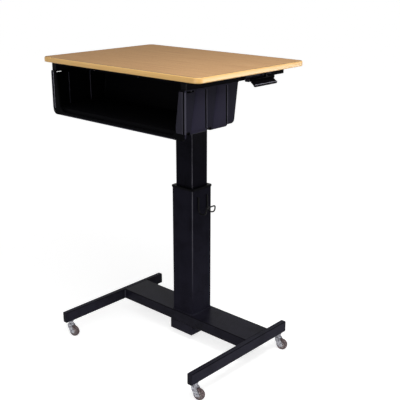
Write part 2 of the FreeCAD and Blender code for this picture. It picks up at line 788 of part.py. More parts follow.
# Desktop: board core, laminate above, balancing sheet below and a rounded edge band
board_size = [f"{side} - 2 * edge_band_width" for side in ("desktop_width", "desktop_depth")]
board = rectangle(("0", "0"), board_size)
board_corner = "desktop_corner - edge_band_width"
pilot_holes = [(*place, "screw_diameter + 2 * screw_fit") for place in bar_screw_places]
core = fillet(pad(new_body("desktop_core"), "xy", "core_bottom", "core_top", board), board_corner,
              outer_corner_edges("z"))
pocket(core, "xy", "core_bottom", "desktop_bottom + screw_bite + screw_fit", *pilot_holes)
node("desktop_core", core)
laminate = pad(new_body("top_laminate"), "xy", "core_top", "top_height", board)
node("top_laminate", fillet(laminate, board_corner, outer_corner_edges("z")))
backing = pad(new_body("backing_sheet"), "xy", "desktop_bottom", "core_bottom", board, *pilot_holes)
node("backing_sheet", fillet(backing, board_corner, outer_corner_edges("z")))

band = pad(new_body("edge_band"), "xy", "desktop_bottom", "top_height",
           rectangle(("0", "0"), ("desktop_width", "desktop_depth")), board)
fillet(band, "desktop_corner", outer_corner_edges("z"))
fillet(band, board_corner, inner_corner_edges("z"))


def rim_edges(edge, box):
    # edges of the outer outline, above and below
    middle = edge.valueAt((edge.FirstParameter + edge.LastParameter) / 2)
    inset = min(box.XMax - abs(middle.x), box.YMax - abs(middle.y))
    corner_inset = number("desktop_corner") * (1 - math.sqrt(0.5)) + 1e-3
    straight = isinstance(edge.Curve, Part.Line)
    rounded = not straight and abs(edge.Curve.Radius - number("desktop_corner")) < 1e-6
    return at_limit(edge, box, "z") and (rounded and inset < corner_inset or straight and inset < 1e-3)


node("edge_band", fillet(band, "edge_radius", rim_edges))


# Book box: an open tub with pilasters, a front frame and flanges under the rails
def tub(name, inset, round_side, round_back):
    # side profile with a leaning back wall, drawn in the YZ plane and padded across
    half = f"(box_half - {inset})"
    open_end = 0 if inset == "0" else overcut
    profile = [
        (f"front - {open_end}", f"box_bottom + {inset}"),
        (f"box_back - box_back_lean - {inset}", f"box_bottom + {inset}"),
        (f"box_back - {inset}", f"box_rim + {open_end}"), (f"front - {open_end}", f"box_rim + {open_end}")]
    body = pad(new_body(name), "yz", "-" + half, half, profile)
    fillet(body, round_back, lambda edge, box: at_limit(edge, box, "z", "low")
           and runs(edge, "x") and not at_limit(edge, box, "y", "low"))
    return fillet(body, round_side, lambda edge, box: runs(edge, "y") and at_limit(edge, box, "z", "low"))


pilaster_ends = [f"front + pilaster_end + {step} * pilaster_pitch" for step in range(2)]


def pilaster(name, end):
    # belt round the box whose side faces slope out from the wall to a step at the far end
    start = f"{end} - pilaster_foot_width"
    outline = rectangle(("0", "box_rim - (box_height + pilaster_depth) / 2"),
                        ("2 * (box_half + pilaster_depth)", "box_height + pilaster_depth"))
    body = pad(new_body(name), "xz", start, end, outline)
    fillet(body, "box_corner + pilaster_depth",
           lambda edge, box: runs(edge, "y") and at_limit(edge, box, "z", "low"))
    levels = (("box_bottom - pilaster_depth", "pilaster_foot_width"), ("box_rim", "pilaster_top_width"))
    for way in (-1, 1):
        wall, outside = f"{way} * box_half", f"{way} * (box_half + pilaster_depth + {overcut})"
        sections = []
        for level, width in levels:
            crest = f"{way} * (box_half + pilaster_slope * {width})"
            sections.append(draw(body, "xy", level, [[
                (wall, f"{start} - {overcut}"), (wall, f"{end} - {width}"), (crest, end),
                (outside, end), (outside, f"{start} - {overcut}")]]))
        slope = body.newObject("PartDesign::SubtractiveLoft", "Slope")
        slope.Profile = sections[0]
        slope.Sections = sections[1:]
        slope.Ruled = True
    return body


pilasters = [pilaster(f"pilaster_{step}", end) for step, end in enumerate(pilaster_ends)]
box_block = joined("box_block", tub("box_outside", "0", "box_corner", "box_back_round"), *pilasters)
box_cavity = tub("box_cavity", "box_wall", "box_corner - box_wall", "box_back_round - box_wall")
box_step = block("box_step", ("-mouth_half", "mouth_half"), (f"front - {overcut}", "lip_back - box_wall"),
                 ("sill", f"box_bottom + box_wall + {overcut}"))
shell = cut("box_shell", box_block, box_cavity, box_step)

frame = pad(new_body("box_frame"), "xz", "front", "front + box_wall", [
    ("-frame_half", "lip_bottom"), ("frame_half", "lip_bottom"),
    ("frame_half", "box_rim"), ("-frame_half", "box_rim")])
fillet(frame, "box_frame_outer_corner",
       lambda edge, box: runs(edge, "y") and at_limit(edge, box, "z", "low"))
pocket(frame, "xz", "front", "front + box_wall", [
    ("-mouth_half", "sill"), ("mouth_half", "sill"),
    ("frame_half - box_frame_top", "box_rim"), ("box_frame_top - frame_half", "box_rim")])
fillet(frame, "box_frame_corner",
       lambda edge, box: runs(edge, "y") and abs(edge.CenterOfMass.z - number("sill")) < 1e-4)

lip_return = block("box_lip_return", ("-lip_half", "lip_half"), ("front", "lip_back"),
                   ("sill - box_wall", "sill"))
lip_riser = block("box_lip_riser", ("-lip_half", "lip_half"), ("lip_back - box_wall", "lip_back"),
                  ("sill - box_wall", "box_bottom + box_wall"))

flanges = []
ribs = []
slots = []
for side, way in (("left", -1), ("right", 1)):
    in_wall = f"{way} * (box_half - box_wall / 2)"
    low_x, high_x = sorted((f"{way} * flange_inner", in_wall), key=number)
    flanges.append(block(side + "_flange", (low_x, high_x), ("front", "box_back - box_wall / 2"),
                         ("flange_bottom", "box_rim")))
    for step, end in enumerate(pilaster_ends):
        low_x, high_x = sorted((f"{way} * (box_half - box_wall - rib_depth)", in_wall), key=number)
        middle = f"{end} - pilaster_top_width / 2"
        ribs.append(block(f"{side}_rib_{step}", (low_x, high_x),
                          (f"{middle} - rib_width / 2", f"{middle} + rib_width / 2"),
                          ("box_bottom + box_corner", "flange_bottom")))
    low_x, high_x = sorted((f"{way} * (box_half - box_wall - {overcut})",
                            f"{way} * (box_half + pilaster_depth + {overcut})"), key=number)
    slots.append(block(side + "_slot", (low_x, high_x),
                       ("front + slot_start", "front + slot_start + slot_length"),
                       ("flange_bottom - slot_height", "flange_bottom")))
flange_holes = [round_bar(f"flange_hole_{index}", "z", "screw_diameter + hole_clearance",
                          (*place, f"flange_bottom - {overcut}"), f"box_wall + 2 * {overcut}")
                for index, place in enumerate(box_screw_places)]
moulding = joined("box_moulding", shell, frame, lip_return, lip_riser, *flanges, *ribs)
node("book_box", cut("book_box", moulding, *slots, *flange_holes))

# Release pin in the hollow rod, and the rocker that presses it
node("release_pin", turned("release_pin", "xz", [
    ("0", "pin_bottom"), ("pin_diameter / 2", "pin_bottom"),
    ("pin_diameter / 2", "pin_top - pin_button_height"), ("pin_button / 2", "pin_top - pin_button_height"),
    ("pin_button / 2", "pin_top"), ("0", "pin_top")], gas_at))

link_front = "column_setback - link_thickness / 2"
eye_hole = "push_rod + 2 * eye_clearance"


def link_bar(name, axis, diameter, x, z, length):
    # round boss or hole across the linkage, centred on the column's line
    return round_bar(name, axis, diameter, (x, f"column_setback - ({length}) / 2", z), length)


rocker_body = joined(
    "rocker_body",
    link_bar("rocker_hub", "y", "rocker_hub", "rocker_arm", "rocker_line", "rocker_hub_length"),
    block("rocker_upper_arm", ("rocker_arm - rocker_hub / 2", "rocker_arm + rocker_hub / 2"),
          (link_front, f"{link_front} + link_thickness"), ("rocker_line", "push_line")),
    link_bar("rocker_eye", "y", "eye_diameter", "rocker_arm", "push_line", "link_thickness"),
    block("rocker_lower_arm", ("0", "rocker_arm"), (link_front, f"{link_front} + link_thickness"),
          ("rocker_line - rocker_bar / 2", "rocker_line + rocker_bar / 2")),
    link_bar("rocker_nose", "y", "rocker_nose", "0", "rocker_line", "link_thickness"))
pin_hole = "pin_diameter + 2 * running_fit"
eye_cut = f"link_thickness + 2 * {overcut}"
node("rocker", cut(
    "rocker", rocker_body,
    link_bar("rocker_bore", "y", pin_hole, "rocker_arm", "rocker_line",
             f"rocker_hub_length + 2 * {overcut}"),
    link_bar("rocker_eye_hole", "y", eye_hole, "rocker_arm", "push_line", eye_cut)))

ears = []
for side, way in (("front", -1), ("rear", 1)):
    low_y, high_y = sorted((f"column_setback + {way} * ear_inside",
                            f"column_setback + {way} * ear_outside"), key=number)
    ear = pad(new_body(side + "_rocker_ear"), "xz", low_y, high_y,
              rectangle(("rocker_arm", "(head_top + rocker_line + ear_margin) / 2"),
                        ("ear_length", "rocker_line + ear_margin - head_top")),
              ("rocker_arm", "rocker_line", pin_hole))
    ears.append(ear)
group("rocker_ears", ears)
pin_head_starts = ("column_setback - ear_outside - pin_button_height", "column_setback + ear_outside")
pin_heads = [round_bar(f"rocker_pin_head_{index}", "y", "pin_button", ("rocker_arm", start, "rocker_line"),
                       "pin_button_height") for index, start in enumerate(pin_head_starts)]
pin_shank = link_bar("rocker_pin_shank", "y", "pin_diameter", "rocker_arm", "rocker_line",
                     "2 * ear_outside")
node("rocker_pin", joined("rocker_pin", pin_shank, *pin_heads))

# Push rod under the desktop, its ends bent through the two eyes
rod_bends = [(x, "push_rod_y", "push_line") for x in ("rocker_arm", "paddle_axis")]
rod_shank = round_bar("push_rod_shank", "x", "push_rod", rod_bends[0], "paddle_axis - rocker_arm")
rod_ends = [round_bar(f"push_rod_end_{index}", "y", "push_rod", bend, "push_rod_offset + link_thickness")
            for index, bend in enumerate(rod_bends)]
rod_corners = [ball(f"push_rod_corner_{index}", "push_rod", bend) for index, bend in enumerate(rod_bends)]
node("push_rod", joined("push_rod", rod_shank, *rod_ends, *rod_corners))

# Release paddle with its crank, bracket and pin
paddle_plate = pad(new_body("paddle_plate"), "xz", "paddle_front", "paddle_back", [
    ("paddle_axis", "paddle_line - paddle_plate / 2"),
    ("paddle_axis + paddle_reach", "paddle_line - paddle_drop - paddle_plate / 2"),
    ("paddle_axis + paddle_reach", "paddle_line - paddle_drop + paddle_plate / 2"),
    ("paddle_axis", "paddle_line + paddle_plate / 2")])
paddle_body = joined(
    "paddle_body", paddle_plate,
    round_bar("paddle_hub", "y", "paddle_hub", ("paddle_axis", "hub_front", "paddle_line"),
              "hub_back - hub_front"),
    round_bar("paddle_lip", "y", "paddle_lip",
              ("paddle_axis + paddle_reach", "paddle_front", "paddle_line - paddle_drop"), "paddle_width"),
    block("paddle_crank", ("paddle_axis - paddle_hub / 2", "paddle_axis + paddle_hub / 2"),
          (link_front, f"{link_front} + link_thickness"), ("paddle_line", "push_line")),
    link_bar("paddle_eye", "y", "eye_diameter", "paddle_axis", "push_line", "link_thickness"))
pin_start = ("paddle_axis", "bracket_front - pin_button_height", "paddle_line")
pin_run = "bracket_back - bracket_front + 2 * pin_button_height"
pivot_bore = "paddle_pin + 2 * running_fit"
node("paddle", cut(
    "paddle", paddle_body,
    round_bar("paddle_bore", "y", pivot_bore, pin_start, pin_run),
    link_bar("paddle_eye_hole", "y", eye_hole, "paddle_axis", "push_line", eye_cut)))

bracket_plate = block("bracket_plate", ("rail_outer", "rail_outer + ear_thickness"),
                      ("bracket_front", "bracket_back"),
                      ("rail_bottom", "desktop_bottom - bracket_top_gap"))
bracket_ears = [block(f"{end}_bracket_ear", ("rail_outer", "paddle_axis + ear_margin"),
                      (start, f"{start} + ear_thickness"),
                      ("paddle_line - ear_margin", "paddle_line + ear_margin"))
                for end, start in (("front", "bracket_front"), ("rear", "bracket_back - ear_thickness"))]
node("paddle_bracket", cut(
    "paddle_bracket", joined("bracket_body", bracket_plate, *bracket_ears),
    round_bar("bracket_bore", "y", pivot_bore, pin_start, pin_run),
    round_bar("bracket_rod_hole", "x", "rod_hole", (f"rail_outer - {overcut}", "push_rod_y", "push_line"),
              f"ear_thickness + 2 * {overcut}")))
node("paddle_pin", round_bar("paddle_pin", "y", "paddle_pin", pin_start, pin_run))

# Casters: stem and insert in the foot, then a fork, an axle and a wheel for each
caster_places = {f"{side}_{end}": (line, row)
                 for side, line in foot_rows.items() for end, row in caster_rows.items()}
stem_profile = [
    ("0", "fork_top - fork_plate - swivel_clearance - stem_rivet_thickness"),
    ("stem_rivet / 2", "fork_top - fork_plate - swivel_clearance - stem_rivet_thickness"),
    ("stem_rivet / 2", "fork_top - fork_plate - swivel_clearance"),
    ("stem_diameter / 2", "fork_top - fork_plate - swivel_clearance"),
    ("stem_diameter / 2", "fork_top + swivel_clearance"), ("stem_neck / 2", "fork_top + swivel_clearance"),
    ("stem_neck / 2", "caster_height - stem_flange_thickness"),
    ("stem_flange / 2", "caster_height - stem_flange_thickness"), ("stem_flange / 2", "caster_height"),
    ("stem_diameter / 2", "caster_height"), ("stem_diameter / 2", "stem_top"), ("0", "stem_top")]
insert_profile = [
    ("stem_diameter / 2 + screw_fit", "foot_floor"), ("insert_diameter / 2", "foot_floor"),
    ("insert_diameter / 2", "foot_floor + insert_height"),
    ("stem_diameter / 2 + screw_fit", "foot_floor + insert_height")]
wheel_profile = [
    ("-wheel_width / 2", "axle_diameter / 2 + running_fit"),
    ("wheel_width / 2", "axle_diameter / 2 + running_fit"),
    ("wheel_width / 2", "hub_diameter / 2"), ("wheel_width / 2 - wheel_recess", "hub_diameter / 2"),
    ("wheel_width / 2 - wheel_recess", "rim_radius"), ("wheel_width / 2", "rim_radius"),
    ("wheel_width / 2", "wheel_radius - tread_round"), ("wheel_width / 2 - tread_round", "wheel_radius"),
    ("tread_round - wheel_width / 2", "wheel_radius"), ("-wheel_width / 2", "wheel_radius - tread_round"),
    ("-wheel_width / 2", "rim_radius"), ("wheel_recess - wheel_width / 2", "rim_radius"),
    ("wheel_recess - wheel_width / 2", "hub_diameter / 2"), ("-wheel_width / 2", "hub_diameter / 2")]
axle_profile = [
    ("-fork_outside - axle_head_thickness", "0"), ("fork_outside + axle_head_thickness", "0"),
    ("fork_outside + axle_head_thickness", "axle_head / 2"), ("fork_outside", "axle_head / 2"),
    ("fork_outside", "axle_diameter / 2"), ("-fork_outside", "axle_diameter / 2"),
    ("-fork_outside", "axle_head / 2"), ("-fork_outside - axle_head_thickness", "axle_head / 2")]


def swivelled(piece, place, reach, level):
    # turned to the caster's heading, a given way behind the stem
    piece.Placement = Placement(Vector(), Rotation(Vector(0, 0, 1), 1))
    piece.setExpression("Placement.Rotation.Angle", sized("caster_angle"))
    return settle(piece, (f"{place[0]} + {reach} * cos(caster_angle)",
                          f"{place[1]} + {reach} * sin(caster_angle)", level))


def fork(name):
    # bent sheet fork, with its stem hole at the local origin and its axle behind it along local X
    body = pad(new_body(name), "xy", "fork_top - fork_plate", "fork_top",
               rectangle(("0", "0"), ("2 * fork_half_length", "2 * fork_outside")),
               ("0", "0", "stem_diameter + 2 * running_fit"))
    cheek = [("-fork_half_length", "fork_top"), ("-fork_half_length", "fork_top - fork_heel"),
             ("caster_trail - fork_skirt", "wheel_radius - fork_eye"),
             ("caster_trail + fork_eye", "wheel_radius - fork_eye"),
             ("caster_trail + fork_eye", "wheel_radius + fork_eye"), ("fork_half_length", "fork_top")]
    axle_hole = ("caster_trail", "wheel_radius", "axle_diameter + 2 * running_fit")
    pad(body, "xz", "fork_inside", "fork_outside", cheek, axle_hole)
    pad(body, "xz", "-fork_outside", "-fork_inside", cheek, axle_hole)
    low = number("wheel_radius + fork_eye") + 1e-3
    return fillet(body, "fork_corner", lambda edge, box: runs(edge, "y") and edge.CenterOfMass.z < low)


group("caster_stems", [turned(f"stem_{key}", "xz", stem_profile, (*place, "0"))
                       for key, place in caster_places.items()])
group("caster_inserts", [turned(f"insert_{key}", "xz", insert_profile, (*place, "0"))
                         for key, place in caster_places.items()])
for key, place in caster_places.items():
    node(f"{key}_caster_fork", swivelled(fork(f"{key}_caster_fork"), place, "0", "0"))
    node(f"{key}_caster_axle", swivelled(turned(f"{key}_caster_axle", "yz", axle_profile), place,
                                         "caster_trail", "wheel_radius"))
    node(f"{key}_caster_wheel", swivelled(turned(f"{key}_caster_wheel", "yz", wheel_profile), place,
                                          "caster_trail", "wheel_radius"))

doc.recompute()

# Every object has to be sound before anything is written
failed = [item.Label for item in doc.Objects if {"Invalid", "Error"} & set(item.State)]
failed += [name for name, piece in nodes.items() if piece.Shape.isNull() or not piece.Shape.isValid()]
if failed:
    raise RuntimeError("these pieces failed: " + ", ".join(failed))

os.makedirs("parts", exist_ok=True)
for name, piece in nodes.items():
    piece.Shape.exportStep(f"parts/{name}.step")
print(len(nodes), "sub-parts written")
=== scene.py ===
import json
from math import atan2, cos, hypot, pi, radians, sin, sqrt

import bmesh
import bpy
from mathutils import Matrix, Vector


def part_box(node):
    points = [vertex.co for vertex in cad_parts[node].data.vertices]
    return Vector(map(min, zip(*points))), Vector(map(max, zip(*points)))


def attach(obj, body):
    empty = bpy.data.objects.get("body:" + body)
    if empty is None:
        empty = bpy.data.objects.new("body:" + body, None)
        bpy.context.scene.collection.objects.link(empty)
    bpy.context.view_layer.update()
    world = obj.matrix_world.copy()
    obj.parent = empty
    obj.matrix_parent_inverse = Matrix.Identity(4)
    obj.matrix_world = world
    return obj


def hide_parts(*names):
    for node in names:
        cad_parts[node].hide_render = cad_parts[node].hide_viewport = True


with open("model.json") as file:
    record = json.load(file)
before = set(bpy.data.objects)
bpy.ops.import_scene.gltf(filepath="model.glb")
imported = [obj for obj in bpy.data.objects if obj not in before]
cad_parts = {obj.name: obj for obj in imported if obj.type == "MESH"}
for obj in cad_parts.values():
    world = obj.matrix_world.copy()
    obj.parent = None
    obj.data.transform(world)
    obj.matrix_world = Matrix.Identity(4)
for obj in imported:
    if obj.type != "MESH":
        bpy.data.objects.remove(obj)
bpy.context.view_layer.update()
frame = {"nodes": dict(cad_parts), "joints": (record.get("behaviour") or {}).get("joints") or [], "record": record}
nodes = frame["nodes"]
joints = {joint["name"]: joint for joint in frame["joints"]}
mm = 0.001
seam = 0.002 * mm  # points nearer than this are one
upright = Matrix.Rotation(pi / 2, 4, "X")  # a flat sheet turned to face the front
print("frame loaded,", len(nodes), "solids")


def hexColour(code):  # sRGB hex to the linear colour that a socket takes
    parts = [int(code[i:i + 2], 16) / 255 for i in (0, 2, 4)]
    return [c / 12.92 if c <= 0.04045 else ((c + 0.055) / 1.055) ** 2.4 for c in parts] + [1]


def perMetre(size):  # a pattern's size in mm, as a texture scale
    return 1000 / size


def noise(size, detail, **more):  # settings of a noise with patches of about this size in mm
    return {"Scale": perMetre(size), "Detail": detail, **more}


def addNode(tree, kind, settings=None, links=None, out=None):  # one node, its values and what feeds it
    node = tree.nodes.new("ShaderNode" + kind)
    for key, value in (settings or {}).items():
        if key == "stops":
            while len(node.color_ramp.elements) < len(value):
                node.color_ramp.elements.new(1)
            for element, (position, colour) in zip(node.color_ramp.elements, value):
                element.position, element.color = position, colour
        elif isinstance(key, str) and hasattr(node, key):
            setattr(node, key, value)
        else:
            node.inputs[key].default_value = value
    for key, socket in (links or {}).items():
        tree.links.new(socket, node.inputs[key])
    return node if out is None else node.outputs[out]


def startMaterial(name):
    material = bpy.data.materials.new(name)
    material.use_nodes = True
    material.node_tree.nodes.clear()
    return material, material.node_tree, addNode(material.node_tree, "TexCoord", out="Object")


def toneStops(look):  # the look's colours, each at its place on the ramp
    return [(at, hexColour(tone)) for at, tone in zip(look["toneAt"], look["tones"])]


def finishMaterial(material, look, colour, gloss, relief):  # sheen, relief and shader, as every look ends
    tree = material.node_tree
    sockets = {"ior": "IOR", "specular": "Specular IOR Level", "metallic": "Metallic"}
    settings = {sockets[key]: look[key] for key in sockets if key in look}
    links = {"Base Color": colour}
    if isinstance(look["roughness"], tuple):
        low, high = look["roughness"]
        links["Roughness"] = addNode(tree, "MapRange", {"To Min": low, "To Max": high},
                                     {"Value": gloss}, "Result")
    else:
        settings["Roughness"] = look["roughness"]
    if "bump" in look:  # height in mm, strength
        height, strength = look["bump"]
        links["Normal"] = addNode(tree, "Bump", {"Strength": strength, "Distance": height * mm},
                                  {"Height": relief}, "Normal")
    shader = addNode(tree, "BsdfPrincipled", settings, links, "BSDF")
    addNode(tree, "OutputMaterial", {}, {"Surface": shader})
    return material


def paintCornerLight(tree, look, place, mottle, colour):  # painted light along a tube's four long corners: a painted highlight, or a painted dark line where the tone is dark
    first, second, corner = look["tube"]
    axes = addNode(tree, "SeparateXYZ", {}, {"Vector": place}).outputs
    offsets = []
    for axis, centre, _ in (first, second):
        side = axes[axis]
        for operation, value in (("ABSOLUTE", 0), ("SUBTRACT", centre * mm), ("ABSOLUTE", 0)):
            side = addNode(tree, "Math", {"operation": operation, 1: value}, {0: side}, "Value")
        offsets.append(side)
    reach = addNode(tree, "Math", {"operation": "ADD"}, {0: offsets[0], 1: offsets[1]}, "Value")
    rim = first[2] + second[2]
    start, full = [(rim - share * corner) * mm for share in look["cornerBand"]]
    cornerMask = addNode(tree, "MapRange", {"From Min": start, "From Max": full}, {"Value": reach}, "Result")
    level, least = look["cornerPatch"]
    shares = [addNode(tree, "MapRange", {"From Min": level, "To Min": least}, {"Value": mottle}, "Result")]
    if "cornerFade" in look:
        none, whole = look["cornerFade"]
        shares.append(addNode(tree, "MapRange", {"From Min": none * mm, "From Max": whole * mm},
                              {"Value": axes["Z"]}, "Result"))
    for share in shares:
        cornerMask = addNode(tree, "Math", {"operation": "MULTIPLY"}, {0: cornerMask, 1: share}, "Value")
    return addNode(tree, "Mix", {"data_type": "RGBA", 7: hexColour(look["cornerTone"])}, {0: cornerMask, 6: colour}, 2)


def shadeBetweenWalls(tree, look, place, mottle):  # painted shade: near-black between the walls, inside and on the front; mottled round the wall's tone outside
    axes = addNode(tree, "SeparateXYZ", {}, {"Vector": place}).outputs
    across = addNode(tree, "Math", {"operation": "ABSOLUTE"}, {0: axes["X"]}, "Value")
    start, full = look["shadeToWallAt"]
    outside = addNode(tree, "MapRange", {"From Min": start * mm, "From Max": full * mm},
                      {"Value": across}, "Result")
    low, high, share = look["wallMottle"]
    mottle = addNode(tree, "MapRange",
                     {"From Min": low, "From Max": high, "To Min": 1 - share, "To Max": 1 + share},
                     {"Value": mottle}, "Result")
    return addNode(tree, "Math", {"operation": "MULTIPLY"}, {0: outside, 1: mottle}, "Value")


def cloudyFinish(look):  # soft clouds of the look's tones, speckled and in relief with its finer grain
    material, tree, place = startMaterial(look["name"])
    along = place
    if "stretch" in look:  # the cloud's size on each axis, in mm
        along = addNode(tree, "Mapping", {"Scale": [perMetre(size) for size in look["stretch"]]},
                        {"Vector": place}, "Vector")
    cloud = addNode(tree, "TexNoise", look["cloud"], {"Vector": along}, "Fac")
    grain = mottle = cloud
    if "grain" in look:
        grain = addNode(tree, look.get("grainKind", "TexNoise"), look["grain"], {"Vector": place}, 0)
    if "speckle" in look:
        mottle = addNode(tree, "Math", {"operation": "MULTIPLY_ADD", 1: look["speckle"]},
                         {0: grain, 2: cloud}, "Value")
    if "shadeToWallAt" in look:
        mottle = shadeBetweenWalls(tree, look, place, mottle)
    colour = addNode(tree, "ValToRGB", {"stops": toneStops(look)}, {"Fac": mottle}, "Color")
    if "tube" in look:
        colour = paintCornerLight(tree, look, place, mottle, colour)
    return finishMaterial(material, look, colour, cloud, grain)


# Powder-coated mild steel: sprayed powder baked to a satin skin, so flat faces show a faint
# orange peel and blurred, slightly cool highlights
powderCoatLook = {
    "name": "powder_coated_steel_satin_black", "tones": ("191820", "26252f"), "toneAt": (0.68, 1), "speckle": 0.9,
    "cloud": noise(70, 3),
    "grain": noise(3, 2, Roughness=0.4),  # real peel is 1.5 mm, drawn coarser to show
    "bump": (0.08, 0.35), "roughness": (0.36, 0.5), "ior": 1.5, "specular": 0.025,
}
weldLook = dict(powderCoatLook, name="powder_coated_weld_bead",
                tones=("32313b", "474650"))  # ripples painted lighter: a painted highlight
frameShadeLook = dict(powderCoatLook, name="mild_steel_matt_powder_coated", tones=("08080b", "101014"),
                    specular=0.002)  # top frame painted darker: painted shade under the desktop's overhang

# The same coat on tubes, with a painted highlight along their corners. A tube is given by axis, middle and half
# size across it, twice, and its corner radius in mm
tubeLook = dict(
    powderCoatLook, cornerTone="5f5e66",
    cornerBand=(0.69, 0.6),  # where the painted corner tone starts and is full, in shares of the corner radius
    cornerPatch=(0.6, 0.55))  # the mottle's level where it thins, and the least that is left of it
outerTubeLook = dict(tubeLook, name="powder_coated_tube_outer", tones=("13121a", "1f1e28"), specular=0.01,
                     tube=(("X", 0, 50), ("Y", 98, 50), 6), cornerFade=(150, 480))  # the painted highlight fades towards the foot
innerTubeLook = dict(tubeLook, name="powder_coated_tube_inner", tones=("0d0d12", "17161e"), specular=0.01,
                     tube=(("X", 0, 40), ("Y", 98, 40), 5))  # painted darker than the outer tube: painted shade
footLook = dict(tubeLook, name="powder_coated_tube_foot", tube=(("X", 317, 10), ("Z", 80, 20), 3),
                cornerTone="060608", cornerBand=(0.85, 0.6))  # painted shade: a dark line along the edges, also on the crossbar
barLook = dict(footLook, name="powder_coated_tube_crossbar", tube=(("Y", 98, 60), ("Z", 80, 20), 3),
               tones=("15141c", "201f29"), specular=0.03, roughness=(0.26, 0.38))  # smoothed by soles

# ABS caps and bushes, moulded in polished tools: smoother and a little glossier than the box
capLook = {
    "name": "abs_moulded_black", "tones": ("09090c", "0f0f13"), "toneAt": (0.6, 1), "speckle": 0.6,
    "cloud": noise(25, 3), "grain": noise(1.2, 1),
    "bump": (0.02, 0.25), "roughness": (0.3, 0.42), "ior": 1.53, "specular": 0.02,
}
footCapLook = dict(capLook, name="abs_moulded_scuffed", tones=("1e1d25", "28272f"))  # a lighter tone than the other caps

# PVC edge band, extruded and printed as pale beech: satin, lighter than the top, streaks run
# along the edge
bandLook = {
    "name": "pvc_edge_band_printed_beech", "tones": ("dba95f", "e4b56d", "edc27f"), "toneAt": (0.28, 0.5, 0.74),
    "stretch": (260, 260, 2.6), "cloud": {"Scale": 1, "Detail": 5, "Roughness": 0.55},
    "grain": noise(1.2, 1), "bump": (0.03, 0.25), "roughness": (0.34, 0.46),
    "ior": 1.53, "specular": 0.45,
}

# Hot-melt glue squeezed up in the joint between top and band: a thin dull brown line
glueLook = {
    "name": "hot_melt_glue_line", "tones": ("4a341f", "65492e"), "toneAt": (0.3, 0.7),
    "cloud": noise(6, 3), "roughness": 0.6, "ior": 1.48,
}

# Phenolic backing sheet, kraft paper soaked in resin and pressed: dull dark brown with faint fibres
backerLook = {
    "name": "phenolic_backer_kraft", "tones": ("5a3f2b", "6b4c35"), "toneAt": (0.3, 0.7),
    "stretch": (30, 2.5, 1000), "cloud": {"Scale": 1, "Detail": 4}, "bump": (0.03, 0.3),
    "roughness": (0.5, 0.62), "ior": 1.55, "specular": 0.35,
}

# Zinc-plated steel, barrel plated and clear passivated: bright silver, faintly cloudy, with tiny
# rub marks from tumbling
zincLook = {
    "name": "steel_zinc_plated_bright", "tones": ("4b4a53", "b2b2b8"), "toneAt": (0.3, 0.65),
    "cloud": noise(5, 4), "grain": noise(1.1, 2),
    "bump": (0.02, 0.3), "roughness": (0.2, 0.36), "metallic": 1,
}

# Hard chrome on the gas spring's rod, centreless ground: mirror-like with very fine rings
chromeLook = {
    "name": "hard_chrome_ground", "tones": ("c4c6ca", "dcdde0"), "toneAt": (0.3, 0.7),
    "stretch": (1000, 1000, 0.8), "cloud": {"Scale": 1, "Detail": 2}, "bump": (0.005, 0.2),
    "roughness": (0.06, 0.12), "metallic": 1,
}

# Thermoplastic rubber tread, moulded: dull grey-brown, dusty where it rolls
treadLook = {
    "name": "thermoplastic_rubber_tread", "tones": ("3c3233", "7a696b"), "toneAt": (0.3, 0.72),
    "cloud": noise(7, 4), "grain": noise(0.9, 2),
    "bump": (0.04, 0.4), "roughness": (0.55, 0.75), "ior": 1.5, "specular": 0.35,
}

# Nylon wheel centre, moulded: smooth warm grey with a soft sheen
hubLook = {
    "name": "nylon_moulded_grey", "tones": ("73676a", "8f8280"), "toneAt": (0.3, 0.7),
    "cloud": noise(9, 3, Distortion=0.5),
    "grain": noise(0.8, 1), "bump": (0.02, 0.25), "roughness": (0.38, 0.5), "ior": 1.53,
}

# PVC-dipped wire: a thick soft skin, blacker and shinier than the powder coat, with slow runs
dipLook = {
    "name": "pvc_dipped_wire_black", "tones": ("050506", "09090b"), "toneAt": (0.3, 0.7),
    "cloud": noise(12, 2), "bump": (0.1, 0.3), "roughness": (0.24, 0.36),
    "ior": 1.53, "specular": 0.08,
}

# Polypropylene, injection moulded: dull blue-grey outer walls; inside and on the front it is painted near-black,
# painted shade, and the raised panels are painted a shade lighter, painted light on their facets
boxLook = {
    "name": "polypropylene_moulded_black", "tones": ("070709", "1e1d27", "292735"), "toneAt": (0, 0.5, 1),
    "shadeToWallAt": (303, 305),  # how far from the middle the wall's own tone starts and is full, in mm; nearer the middle is painted shade
    "wallMottle": (0.5, 1.3, 0.3),  # lowest and highest level, and the share by which they shift the tone
    "cloud": noise(120, 4, Distortion=0.6), "grainKind": "TexVoronoi",
    "grain": {"Scale": perMetre(1.6)},  # real tool grain is about 0.3 mm, drawn coarser to show
    "speckle": 0.9, "bump": (0.06, 0.4), "roughness": (0.46, 0.58), "ior": 1.49, "specular": 0.012,
}
beadHighlightLook = dict(boxLook, name="polypropylene_rubbed_edge",
                  tones=("3c3b45", "3c3b45", "45444f"))  # painted highlight on the beads, strips, rib edges and the lip's line
lipHighlightLook = dict(boxLook, name="polypropylene_finger_polished",
                   tones=("6e6d77", "6e6d77", "777680"))  # painted highlight on the paddle's lip bead and the box's left edge
litCornerLook = dict(boxLook, name="polypropylene_rubbed_corner",
                  tones=("2f2e37", "2f2e37", "383741"))  # right front pad and mouth bead painted lighter: painted light from the right
gapLook = dict(boxLook, name="polypropylene_shadow_gap",
               tones=("030304", "030304", "050506"))  # dark lining in the narrow gaps: painted shade

